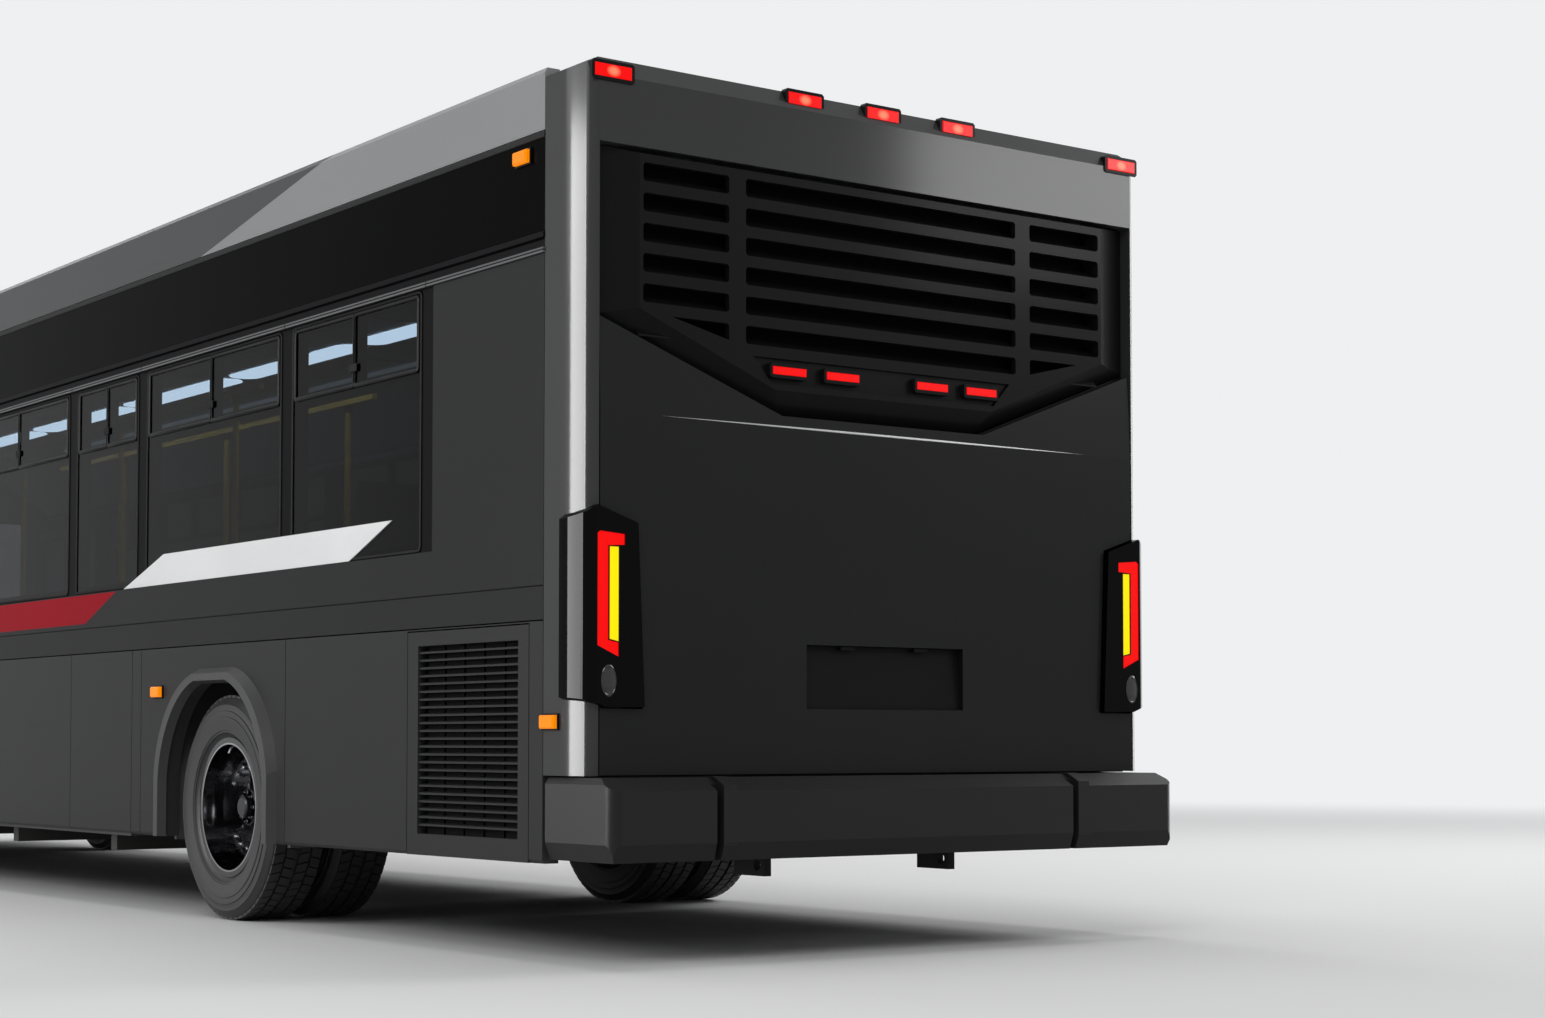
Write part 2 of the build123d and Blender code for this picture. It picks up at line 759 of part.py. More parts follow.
def rear_bumper():
    """Wrap-round rear bumper with two upright ribs."""
    solid = bumper_block(rear_bumper_depth, 248, rear_face, 1, 42, bumper_bottom, bumper_top - 3, 60, 44)
    hollow = block((-half + 110, half - 110), (at(260), rear_face + 30), (0, bumper_top + 10))
    solid -= hollow
    y_out = rear_face + rear_bumper_depth
    for x in (-rib_x, rib_x):
        groove = block((x + rib_width / 2, x + rib_width / 2 + rib_groove), (y_out - 45, y_out + 5), (0, 900))
        solid -= groove
        rib = bumper_block(rear_bumper_depth - 1, 0, rear_face, 1, 42, bumper_bottom + 3, bumper_top, 48, 30)
        solid += rib & block((x - rib_width / 2, x + rib_width / 2), (rear_face + 35, y_out + 10), (300, 700))
    return solid


rack_hole_radius = 8
rack_spacing = (600, 120)
rack_z = 500


def front_bumper():
    """Wrap-round front bumper with four bolt holes for a cycle rack."""
    solid = bumper_block(front_bumper_depth, 200, front_face, -1, 110, bumper_bottom, bumper_top - 3, 50, 40)
    hollow = block((-half + 130, half - 130), (front_face - 40, front_face + 260), (0, bumper_top + 10))
    solid -= hollow
    for x in (-rack_spacing[0] / 2, rack_spacing[0] / 2):
        for z in (rack_z - rack_spacing[1] / 2, rack_z + rack_spacing[1] / 2):
            solid -= Pos(x, front_face - 80, z) * Rot(90, 0, 0) * Cylinder(rack_hole_radius, 160)
    return solid


# Front end

front_corner = 170
front_bulge = 60
screen_sill = 1180
screen_head = window_head
sign_sill = roof_edge - 565
sign_head = roof_edge - 205
sign_half = half - 395
front_wall = 60


def front_plan(offset):
    """Plan of the nose in (X, Y), shrunk by an offset: arched face and round corners."""
    h = half - offset
    y_face = front_face + offset
    y_back = at(wall_front_back)
    r = front_corner - offset
    y_turn = y_face + front_bulge
    lines = [
        Line((-h, y_back), (h, y_back)),
        Line((h, y_back), (h, y_turn + r)),
        ThreePointArc((h, y_turn + r), (h - r * 0.24, y_turn + r * 0.30), (h - r, y_turn - 8)),
        ThreePointArc((h - r, y_turn - 8), (0, y_face), (-h + r, y_turn - 8)),
        ThreePointArc((-h + r, y_turn - 8), (-h + r * 0.24, y_turn + r * 0.30), (-h, y_turn + r)),
        Line((-h, y_turn + r), (-h, y_back)),
    ]
    return make_face(lines)


def nose(offset):
    """Solid nose, shrunk by an offset: the plan above cut by a raked side outline."""
    solid = along_z(front_plan(offset), bumper_top + 3, roof_edge - offset)
    y0 = front_face + offset
    rake = outline(
        (y0 - 50, 0), (y0 - 50, roof_edge + 50), (y0 + 400, roof_edge + 50), (y0 + 250, roof_edge - offset),
        (y0 + 120, roof_edge - 60 - offset), (y0 + 62, screen_head + 60), (y0 + 6, screen_sill - 40), (y0 - 6, 0))
    return solid - along_x(rake, -half - 10, half + 10)


def front_openings(gap):
    """Windscreen halves and sign window in (X, Z), shrunk by a gap."""
    faces = []
    for side in (-1, 1):
        faces.append(outline(
            (side * (10 + gap), screen_sill + gap), (side * (half + 40), screen_sill + 110 + gap),
            (side * (half + 40), screen_head - gap), (side * (10 + gap), screen_head - gap)))
    faces.append(outline((gap - sign_half, sign_sill + gap), (sign_half - gap, sign_sill + gap),
                         (sign_half - 40 - gap, sign_head - gap), (gap + 40 - sign_half, sign_head - gap)))
    return faces


screen_edge_y = 140


def screen_tool(face, gap):
    """Prism that cuts one front opening, stopping short of the side wall."""
    return along_y(face, front_face - 20, front_face + screen_edge_y - gap)


headlamp_z = (760, 930)
headlamp_x = (half - 495, half - 135)


def front_cap():
    """Hollow nose panel with its openings."""
    shell = nose(0) - nose(front_wall)
    for face in front_openings(0):
        shell -= screen_tool(face, 0)
    for side in (-1, 1):
        shell -= along_y(headlamp_face(side, 0), front_face - 20, front_face + 160)
    return shell


def headlamp_face(side, gap):
    """Outline of one headlamp in (X, Z), shrunk by a gap."""
    x0, x1 = headlamp_x
    z0, z1 = headlamp_z
    s, g = side, gap
    return outline((s * (x0 + g), z0 + g), (s * (x1 - g), z0 + 25 + g), (s * (x1 - g), z1 - g),
                   (s * (x0 + g), z1 - 30 - g))


def windscreen():
    """Two bonded screen halves and the blank sign window."""
    skin = nose(4) - nose(4 + glass_thickness)
    panes = []
    for face in front_openings(glass_gap):
        panes += (skin & screen_tool(face, glass_gap)).solids()
    return group(*panes)


def headlamps():
    """Clear lens blocks that follow the nose."""
    skin = nose(3) - nose(70)
    lamps = []
    for side in (-1, 1):
        lamps += (skin & along_y(headlamp_face(side, 4), front_face - 20, front_face + 160)).solids()
    return group(*lamps)


# Doors

def door_leaf(back0, back1):
    """Frame of one door leaf on the curb side."""
    z0, z1 = door_sill, door_sill + door_height
    x0, x1 = -half + 6, -half + 6 + leaf_thickness
    frame = block((x0, x1), (at(back1), at(back0)), (z0, z1))
    light = pane_face(back0 + 62, back1 - 62, z0 + 150, z1 - 70, 30)
    return frame - along_x(light, x0 - 10, x1 + 10)


def door_glass(back0, back1):
    """Pane set in the leaf's opening."""
    z0, z1 = door_sill, door_sill + door_height
    x0 = -half + 6 + 12
    light = pane_face(back0 + 62, back1 - 62, z0 + 150, z1 - 70, 30)
    return along_x(light, x0, x0 + glass_thickness)


def leaf_spans(door):
    """Back sizes of the rear and front leaf of a doorway."""
    middle = (door[0] + door[1]) / 2
    return (door[0] + leaf_gap, middle - leaf_gap / 2), (middle + leaf_gap / 2, door[1] - leaf_gap)


# Floor, bulkhead and wheel boxes

front_box = (kingpin_x - 350, 600)
rear_box = (inner_dual_x - 191, 560)
box_top = 1020
box_skin = 22


def wheel_space(axle, size, grow):
    """Space of one wheel box, grown by a skin or a gap, on the +X side."""
    x_in, reach = size
    return block((x_in - grow, inner - 3), (at(axle) - reach - grow, at(axle) + reach + grow), (0, box_top + grow))


def wheel_boxes():
    """Four boxes over the wheels, open below and on the outside, that stand up through the floor."""
    boxes = []
    for axle, size in ((rear_axle, rear_box), (front_axle, front_box)):
        shell = wheel_space(axle, size, box_skin) - wheel_space(axle, size, 0)
        shell -= block((0, half), (at(axle) - 900, at(axle) + 900), (-5, low_floor - floor_thickness))
        if axle == rear_axle:
            shell -= block((0, size[0] + 60), (at(axle) - 110, at(axle) + 110), (0, tyre_radius + 110))
        boxes += [shell, mirrored(shell)]
    return group(*boxes)


def floor_deck():
    """Low and high floor, step and rear bulkhead as one folded deck with wheel wells."""
    t = floor_thickness
    face = outline(
        (at(wall_front_back) + 2, low_floor - t), (at(wall_front_back) + 2, low_floor),
        (at(step_back + 300), low_floor), (at(step_back + 300), (low_floor + high_floor) / 2),
        (at(step_back), (low_floor + high_floor) / 2), (at(step_back), high_floor),
        (at(bulkhead_back + bulkhead), high_floor), (at(bulkhead_back + bulkhead), cornice - 160),
        (at(bulkhead_back), cornice - 160), (at(bulkhead_back), high_floor - t),
        (at(step_back - t), high_floor - t), (at(step_back - t), (low_floor + high_floor) / 2 - t),
        (at(step_back + 300 - t), (low_floor + high_floor) / 2 - t), (at(step_back + 300 - t), low_floor - t))
    deck = along_x(face, -inner + 3, inner - 3)
    for axle, size in ((rear_axle, rear_box), (front_axle, front_box)):
        well = wheel_space(axle, size, box_skin)
        deck -= [well, mirrored(well)]
    return deck


# Chassis

engine_front = 1480
rail_x = half - 865
rail_width = 80
rail_z = (225, 322)
rear_rail_z = (585, 742)


def chassis_frame():
    """Two stepped rails with crossmembers, the engine cradle and the underfloor tanks' beams."""
    low0, low1 = rail_z
    up0, up1 = rear_rail_z
    kick = at(step_back - 60)
    rail = outline(
        (front_face + 50, low0), (front_face + 50, low1), (kick - 304, low1), (kick, 520), (kick + 60, up1),
        (at(300), up1), (at(300), up0), (kick + 140, up0), (kick + 80, 430), (kick - 260, low0))
    rail_solid = along_x(rail, rail_x - rail_width / 2, rail_x + rail_width / 2)
    frame = rail_solid + mirrored(rail_solid)
    for back in along_body(4300, 5600, 6900, 8200, 9250, 10800, 11800):
        frame += block((-inner + 40, inner - 40), (at(back) - 35, at(back) + 35), (low0 + 25, low1 - 2))
    for back in (340, 1600, 2300, 3500):
        frame += block((-rail_x, rail_x), (at(back) - 35, at(back) + 35), (up0 + 10, up1 - 20))
    return frame


# Axles and knuckles

def front_axle_beam():
    """Dropped beam with an upright eye at each end for the kingpin."""
    y = at(front_axle)
    low, high = tyre_radius - 52, tyre_radius + 52
    x = kingpin_x
    path = outline((-x, low), (70 - x, low), (250 - x, 128), (x - 250, 128), (x - 70, low), (x, low),
                   (x, high), (x - 110, high), (x - 340, 213), (340 - x, 213), (110 - x, high), (-x, high))
    beam = along_y(path, y - 45, y + 45)
    for side in (-1, 1):
        x = side * kingpin_x
        beam += Pos(x, y, tyre_radius) * Cylinder(52, 104)
        beam -= Pos(x, y, tyre_radius) * Cylinder(kingpin_radius + running_clearance, 400)
    for side in (-1, 1):
        beam += block((side * (rail_x - 35), side * (rail_x + 35)), (y - 60, y + 60), (200, rail_z[0] - 1))
    return beam


def knuckle(side):
    """Fork, kingpin and spindle that carry one front wheel."""
    y = at(front_axle)
    x = kingpin_x
    z = tyre_radius
    web = block((x + 55, x + 95), (y - 50, y + 50), (z - 92, z + 92))
    for z0, z1 in ((z + 58, z + 92), (z - 92, z - 58)):
        web += block((x - 40, x + 60), (y - 40, y + 40), (z0, z1))
    web += Pos(x, y, z) * Cylinder(kingpin_radius, 184)
    end = front_track_half + 90
    web += Pos((x + 60 + end) / 2, y, z) * Rot(0, 90, 0) * Cylinder(spindle_radius, end - x - 60)
    web += block((x + 60, x + 95), (y + 45, y + 190), (z - 90, z - 62))
    return web if side > 0 else mirrored(web)


def rear_axle_housing():
    """Axle tube with the drive head in the middle and spindles at both ends."""
    y = at(rear_axle)
    end = outer_dual_x + 10
    tube_end = inner_dual_x - 91
    profile = outline(
        (-end, 0), (-end, spindle_radius), (-tube_end, spindle_radius), (-tube_end, 75), (-200, 75), (-60, 205),
        (60, 205), (200, 75), (tube_end, 75), (tube_end, spindle_radius), (end, spindle_radius), (end, 0))
    tube = Pos(0, y, tyre_radius) * revolve(Plane.XZ * profile, Axis.X)
    nose = outline((y + 100, tyre_radius - 110), (y + 100, tyre_radius + 110), (y + 340, tyre_radius + 60),
                   (y + 340, tyre_radius - 60))
    tube += along_x(nose, -65, 65)
    shaft_end = at(engine_front)
    tube += Pos(0, y + 330, tyre_radius) * Rot(-90, 0, 0) * extrude(RegularPolygon(48, 10), amount=shaft_end - y - 330)
    for side in (-1, 1):
        tube += block((side * (rail_x - 40), side * (rail_x + 40)), (y - 60, y + 60), (tyre_radius + 30, rear_rail_z[0]))
    return tube


# Wheels

bead_gap = 2
bead_half = 104
swell_radius = 440
tread_half = 108
inboard_half = 125


def tyre():
    """A tyre along +X: the outboard wall swells towards a sloping shoulder, the inboard wall is flat."""
    bead = rim_radius + bead_gap
    section = outline((-inboard_half, bead), (bead_half, bead), (tyre_width / 2, swell_radius),
                      (tread_half, tyre_radius), (-inboard_half, tyre_radius))
    return revolve(Plane.XZ * section, Axis.X)


def twin_tyre():
    """The hidden inner tyre of a pair, with straight walls."""
    bead = rim_radius + bead_gap
    section = outline((-inboard_half, bead), (inboard_half, bead), (inboard_half, tyre_radius),
                      (-inboard_half, tyre_radius))
    return revolve(Plane.XZ * section, Axis.X)


lip_radius = rim_radius + 12
lip_inner = 268
disc_thickness = 14
hub_bore = spindle_radius + running_clearance
rim_half = rim_width / 2


def front_rim():
    """Front rim, disc and hub: the disc bulges outboard and the hub stands through it."""
    face, root = 62, -10
    section = outline(
        (rim_half + 9, lip_radius), (rim_half, rim_radius), (-rim_half, rim_radius), (root - 24, 236),
        (face - disc_thickness, 165), (-30, hub_bore), (108, hub_bore), (108, 0), (122, 0), (122, 55),
        (face, 92), (face, 170), (root, 244), (rim_half + 9, lip_inner))
    return revolve(Plane.XZ * section, Axis.X)


def rear_rims():
    """Dual rims as one turned piece: a deep dish outboard, the twin's barrel and drum inboard."""
    s = dual_spacing
    seat = -s / 2
    face = seat + disc_thickness
    section = outline(
        (rim_half + 9, lip_radius), (rim_half, rim_radius), (-rim_half, rim_radius), (seat, 175),
        (-s + rim_half, rim_radius), (-s - rim_half, rim_radius), (-s - rim_half + 20, hub_bore), (12, hub_bore),
        (12, 0), (26, 0), (26, 74), (face, 102), (face + 14, 244), (rim_half + 9, lip_inner))
    return revolve(Plane.XZ * section, Axis.X)


# Interior

seat_pitch = 760
seat_width = 430
seat_top = 464
seat_leg_half = 90
seat_gap = 1
seat_x = inner - 30 - seat_width
bench_back = 1465


def seat_rows(first, last):
    """Back sizes of a run of seats, as many as the room holds."""
    return [first + row * seat_pitch for row in range(math.floor((last - first) / seat_pitch) + 1)]


low_end = front_axle - 1200
low_street_backs = seat_rows(rear_axle + 1770, low_end)
low_curb_backs = seat_rows(rear_door[1] + 310, low_end)
high_backs = seat_rows(bench_back + 615, rear_axle - 850)


def seat_places():
    """Middle X, back size, floor height, half width and half leg width of every seat."""
    places = [(seat_x, back, low_floor, seat_width, seat_leg_half) for back in low_street_backs]
    places += [(-seat_x, back, low_floor, seat_width, seat_leg_half) for back in low_curb_backs]
    for x in (-seat_x, seat_x):
        places += [(x, back, high_floor, seat_width, seat_leg_half) for back in high_backs]
    places.append((0, bench_back, high_floor, inner - 60, inner - 60))
    places.append((inner - 610, body_length - 1250, low_floor, 230, seat_leg_half))
    return places


def seat_run(face, legs=False):
    """One solid for each seat, from a side outline in (Y, Z) that faces -Y and stands on Z=0."""
    solids = []
    for x, back, floor, wide, leg in seat_places():
        reach = leg if legs else wide
        solids.append(Pos(x, at(back), floor) * along_x(face, -reach, reach))
    return group(*solids)


def seat_cushions():
    return seat_run(outline((-215, seat_top - 44), (-205, seat_top), (130, seat_top - 12), (122, seat_top - 60),
                            (60, seat_top - 64)))


def seat_backs():
    return seat_run(outline((130 + seat_gap, seat_top - 12), (225, seat_top + 526), (262, seat_top + 526),
                            (172, seat_top - 54), (122 + seat_gap, seat_top - 60)))


def seat_legs():
    return seat_run(outline((-40, seat_gap), (40, seat_gap), (58, seat_top - 66), (-34, seat_top - 59)), legs=True)


pole_radius = 17


def grab_rails():
    """Floor-to-ceiling poles joined by two ceiling rails."""
    rail_h = cornice - 330
    parts = []
    reach = (at(low_street_backs[-1] + 500), at(low_street_backs[0] - 100))
    pole = extrude(RegularPolygon(pole_radius, 8), amount=rail_h - low_floor)
    aisle_half = seat_x - seat_width - 22
    for x in (-aisle_half, aisle_half):
        rail = block((x - 14, x + 14), reach, (rail_h, rail_h + 28))
        for back in low_street_backs[::2]:
            rail += Pos(x, at(back + 200), low_floor + 1) * pole
        parts.append(rail)
    return group(*parts)


def ceiling_lights():
    """Long light strips under the coves."""
    reach = (at(body_length - 2600), at(bulkhead_back + 135))
    strip = block((half - 735, half - 635), reach, (cornice - 130, cornice - 112))
    return group(strip, mirrored(strip))


steering_radius = 225


def steering_wheel():
    """Flat-based ring with two spokes, lying in XY."""
    ring = RegularPolygon(steering_radius, 16) - RegularPolygon(steering_radius - 26, 16)
    return extrude(ring, amount=22) + Box(2 * steering_radius - 30, 34, 14) + Box(34, 2 * steering_radius - 30, 14)


def dashboard():
    """Dash across the nose with the steering column and wheel."""
    y = front_face + 280
    face = outline(
        (y, low_floor + 2), (y + 220, low_floor + 2), (y + 260, 980), (y + 360, 1120), (y + 220, 1200), (y, 1160))
    dash = along_x(face, inner - 1480, inner - 30)
    x = inner - 610
    column = Pos(x, y + 360, 1080) * Rot(-25, 0, 0) * extrude(RegularPolygon(28, 8), amount=150, both=True)
    wheel = Pos(x, y + 420, 1210) * Rot(-25, 0, 0) * steering_wheel()
    return dash + column + wheel


def engine_block():
    """Plain block of the engine and gearbox, and the radiator behind its door."""
    low_half, high_half = rail_x - 50, rail_x - 90
    engine = block((-low_half, low_half), (at(engine_front), at(420)), (350, rear_rail_z[0] - 5))
    engine += block((-high_half, high_half), (at(1130), at(440)), (rear_rail_z[0] - 10, 1250))
    radiator = block((inner - 160, inner - 40), (at(1140), at(440)), (430, 1105))
    return group(engine, radiator)


# Mirrors, wipers and tow eyes

arm_radius = 17


def strut(start, end):
    """Eight-sided bar between two points."""
    run = Vector(*end) - Vector(*start)
    bar = Plane(origin=start, z_dir=run) * RegularPolygon(arm_radius, 8)
    return extrude(bar, amount=run.length, dir=run)


def mirrors():
    """A mirror on a bent arm at each front corner."""
    z = roof_edge - 525
    foot = block((half + 1, half + 12), (front_face + 190, front_face + 250), (z - 50, z + 50))
    bend = (half + 110, front_face + 60, z)
    arm = strut((half + 8, front_face + 220, z), bend) + strut(bend, (half + 130, front_face + 20, z - 230))
    head = Pos(half + 130, front_face + 20, z - 440) * Box(230, 90, 430)
    head = chamfer(head.edges(), 22)
    mirror_piece = arm + head + foot - block((0, half + 1), (front_face - 100, front_face + 400), (z - 160, z + 140))
    return group(mirror_piece, mirrored(mirror_piece))


tow_bore = 21
tow_plate = 30
tow_front = (front_face - 60, 290)
tow_rear = (rear_face - 190, 318)


def tow_eyes():
    """Four upright towing plates hung from the ends of the rails, each with a cross bore."""
    plates = []
    x0, x1 = rail_x - tow_plate / 2, rail_x + tow_plate / 2
    y, z = tow_front
    front = block((x0, x1), (y - 45, front_face + 49), (z - 55, z + 55))
    front -= Pos(rail_x, y, z) * Rot(0, 90, 0) * Cylinder(tow_bore, 100)
    y, z = tow_rear
    rear = block((x0, x1), (at(330), y + 45), (z - 40, z + 40))
    rear += block((x0, x1), (at(330), at(240)), (z - 40, rear_rail_z[0] - 1))
    rear -= Pos(rail_x, y, z) * Rot(0, 90, 0) * Cylinder(tow_bore, 100)
    return group(front, mirrored(front), rear, mirrored(rear))


# Assembly

def place_wheel(shape, x, axle, side):
    """A wheel part built about the origin with its outboard side to +X, put on one side of an axle."""
    placed = Pos(x, at(axle), tyre_radius) * shape
    return placed if side > 0 else mirrored(placed)


def build():
    parts = {
        "chassis_frame": chassis_frame(),
        "floor_deck": floor_deck(),
        "wheel_boxes": wheel_boxes(),
        "side_wall_street": side_wall_street(),
        "side_wall_curb": side_wall_curb(),
        "side_glass": side_glass(),
        "skirt_street": skirt_street(),
        "skirt_curb": skirt_curb(),
        "wheel_arch_trims": wheel_arch_trims(),
        "radiator_door": radiator_door(),
        "roof_shell": roof_shell(),
        "roof_fairings": roof_fairings(),
        "rear_cap": rear_cap(),
        "rear_louvre": rear_louvre(),
        "engine_door": engine_door(),
        "tail_lamps": tail_lamps(),
        "red_lamps": red_lamps(),
        "amber_lamps": amber_lamps(),
        "turn_bars": turn_bars(),
        "lamp_bezels": lamp_bezels(),
        "bumper_rear": rear_bumper(),
        "bumper_front": front_bumper(),
        "front_cap": front_cap(),
        "windscreen": windscreen(),
        "headlamps": headlamps(),
        "front_axle": front_axle_beam(),
        "rear_axle": rear_axle_housing(),
        "seat_cushions": seat_cushions(),
        "seat_backs": seat_backs(),
        "seat_legs": seat_legs(),
        "grab_rails": grab_rails(),
        "ceiling_lights": ceiling_lights(),
        "dashboard": dashboard(),
        "engine_block": engine_block(),
        "mirrors": mirrors(),
        "tow_eyes": tow_eyes(),
    }
    for name, back in zip(("roof_hatch_rear", "roof_hatch_front"), hatch_backs):
        parts[name] = roof_hatch(back)
    for name, door in (("rear_door", rear_door), ("front_door", front_door)):
        aft, fore = leaf_spans(door)
        parts[name + "_aft"] = door_leaf(*aft)
        parts[name + "_fore"] = door_leaf(*fore)
        parts[name + "_aft_glass"] = door_glass(*aft)
        parts[name + "_fore_glass"] = door_glass(*fore)
    dual_tyres = group(tyre(), Pos(-dual_spacing, 0, 0) * twin_tyre())
    single_tyre, single_rim, dual_rims = tyre(), front_rim(), rear_rims()
    for side, word in ((1, "street"), (-1, "curb")):
        parts["knuckle_" + word] = knuckle(side)
        parts["front_tyre_" + word] = place_wheel(single_tyre, front_track_half, front_axle, side)
        parts["front_rim_" + word] = place_wheel(single_rim, front_track_half, front_axle, side)
        parts["rear_tyres_" + word] = place_wheel(dual_tyres, outer_dual_x, rear_axle, side)
        parts["rear_rims_" + word] = place_wheel(dual_rims, outer_dual_x, rear_axle, side)
    return parts


os.makedirs("parts", exist_ok=True)
for name, shape in build().items():
    export_step(shape, f"parts/{name}.step")
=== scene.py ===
import math

import bmesh
import bpy
from mathutils import Matrix, Vector
from mathutils.bvhtree import BVHTree


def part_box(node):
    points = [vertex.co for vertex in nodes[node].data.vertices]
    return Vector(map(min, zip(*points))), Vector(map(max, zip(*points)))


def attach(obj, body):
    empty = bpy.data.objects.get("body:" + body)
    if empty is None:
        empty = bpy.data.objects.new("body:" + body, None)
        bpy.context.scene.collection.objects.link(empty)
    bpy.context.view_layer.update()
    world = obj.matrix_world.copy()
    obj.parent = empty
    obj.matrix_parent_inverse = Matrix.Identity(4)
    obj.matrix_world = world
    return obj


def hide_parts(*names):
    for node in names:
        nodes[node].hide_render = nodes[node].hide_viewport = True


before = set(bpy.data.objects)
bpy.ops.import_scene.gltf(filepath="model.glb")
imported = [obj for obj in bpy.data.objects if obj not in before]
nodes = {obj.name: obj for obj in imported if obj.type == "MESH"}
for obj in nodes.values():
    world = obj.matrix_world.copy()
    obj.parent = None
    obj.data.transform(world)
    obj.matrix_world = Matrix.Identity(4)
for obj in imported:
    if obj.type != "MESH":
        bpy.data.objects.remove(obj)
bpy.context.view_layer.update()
print("frame loaded:", len(nodes), "solids")

# The faces of the bus that places are measured from. Places along it are metres forward of the rear face.
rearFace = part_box("engine_door")[1][1]
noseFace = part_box("front_cap")[0][1]
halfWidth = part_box("skirt_street")[1][0]
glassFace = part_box("side_glass")[1][0]
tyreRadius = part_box("rear_tyres_street")[1][2] / 2


def forwardOf(back):
    return rearFace - back


def middle(node):
    low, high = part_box(node)
    return (Vector(low) + Vector(high)) / 2


rearAxleY = middle("rear_tyres_street")[1]
frontAxleY = middle("front_tyre_street")[1]


# Node helpers, for shaders and Geometry Nodes alike

def feed(tree, socket, value):
    # a link where value is a socket, otherwise a constant
    if isinstance(value, bpy.types.NodeSocket):
        tree.links.new(value, socket)
    elif isinstance(value, tuple) and socket.type == "RGBA":
        socket.default_value = (*value, 1)
    else:
        socket.default_value = value


def addNode(tree, kind, inputs=(), **settings):
    node = tree.nodes.new(kind)
    for key, value in settings.items():
        setattr(node, key, value)
    for label, value in dict(inputs).items():
        feed(tree, node.inputs[label], value)
    return node


def mathNode(tree, operation, *values, clamp=False):
    return addNode(tree, "ShaderNodeMath", enumerate(values), operation=operation, use_clamp=clamp).outputs[0]


def product(tree, a, b):
    return mathNode(tree, "MULTIPLY", a, b)


def less(tree, a, b, clamp=False):
    return mathNode(tree, "SUBTRACT", a, b, clamp=clamp)


def longSide(tree, a, b):
    return mathNode(tree, "SQRT", mathNode(tree, "ADD", product(tree, a, a), product(tree, b, b)))


def vectorOf(tree, x, y, z):
    return addNode(tree, "ShaderNodeCombineXYZ", {0: x, 1: y, 2: z}).outputs[0]


def objectPlace(tree):
    return tree.nodes.new("ShaderNodeTexCoord").outputs["Object"]


def objectAxes(tree):
    return addNode(tree, "ShaderNodeSeparateXYZ", {0: objectPlace(tree)}).outputs


def mixColour(tree, mask, a, b):
    return addNode(tree, "ShaderNodeMix", {0: mask, 6: a, 7: b}, data_type="RGBA").outputs[2]


def mixValue(tree, mask, a, b):
    return addNode(tree, "ShaderNodeMix", {0: mask, 2: a, 3: b}).outputs[0]


def startMaterial(name, inputs):
    mat = bpy.data.materials.new(name)
    mat.use_nodes = True
    bsdf = mat.node_tree.nodes["Principled BSDF"]
    for label, value in inputs.items():
        feed(mat.node_tree, bsdf.inputs[label], value)
    return mat, mat.node_tree, bsdf


def addObject(name, mesh, material=None):
    obj = bpy.data.objects.new(name, mesh)
    bpy.context.scene.collection.objects.link(obj)
    if material:
        mesh.materials.clear()
        mesh.materials.append(material)
    return obj


# Camera, floor and light

viewpoint = {"place": (5.808, 13.237, 0.758), "turn": 36.48, "lift": 2.5, "lens": 59.04, "shift": 0.079}

studio = {
    "floorColour": (0.80, 0.80, 0.80), "skyColour": (0.86, 0.87, 0.88), "skyLight": 0.30, "floorSize": 160,
    "fade": (8.5, 21.0),
}

softLamps = {
    "keyLamp": {"place": (9, 15, 11), "target": (0, 3, 1.5), "size": (9, 6), "power": 620},
    "streetLamp": {"place": (14, -1, 8), "target": (1, 0, 1.4), "size": (14, 5), "power": 620},
    "curbLamp": {"place": (-12, 6, 9), "target": (0, 1, 1.5), "size": (10, 6), "power": 800},
    "noseLamp": {"place": (-3, -16, 9), "target": (0, -4, 1.5), "size": (9, 6), "power": 800},
    "topLamp": {"place": (0, 0, 14), "target": (0, 0, 0), "size": (8, 16), "power": 700},
}

# These three are seen in gloss alone: the pale edges of the rear corners and the sheen over the louvre.
glossLamps = {
    "leftStreak": {"place": (8.9, 1.3, 2.3), "target": (1.28, 5.9, 1.7), "size": (2.8, 5.5), "power": 1500},
    "rightStreak": {"place": (-9.2, 5.3, 2.3), "target": (-1.28, 6.0, 1.7), "size": (2.6, 5.5), "power": 420},
    "rearSheen": {"place": (-7.6, 12.3, 4.9), "target": (-0.8, 6.0, 2.9), "size": (3.6, 1.4), "power": 190},
}


def makeCamera(v):
    cam = addObject("camera", bpy.data.cameras.new("camera"))
    yaw, pitch = math.radians(v["turn"]), math.radians(v["lift"])
    look = Vector((-math.sin(yaw) * math.cos(pitch), -math.cos(yaw) * math.cos(pitch), math.sin(pitch)))
    cam.location = v["place"]
    cam.rotation_euler = look.to_track_quat("-Z", "Y").to_euler()
    cam.data.lens = v["lens"]
    cam.data.sensor_width = 36
    cam.data.shift_y = v["shift"]
    cam.data.clip_end = 300
    bpy.context.scene.camera = cam


def softLamp(name, l, glossOnly):
    lamp = bpy.data.lights.new(name, "AREA")
    lamp.shape = "RECTANGLE"
    lamp.size, lamp.size_y = l["size"]
    lamp.energy = l["power"]
    obj = addObject(name, lamp)
    obj.location = l["place"]
    obj.rotation_euler = (Vector(l["target"]) - Vector(l["place"])).to_track_quat("-Z", "Y").to_euler()
    obj.visible_diffuse = not glossOnly


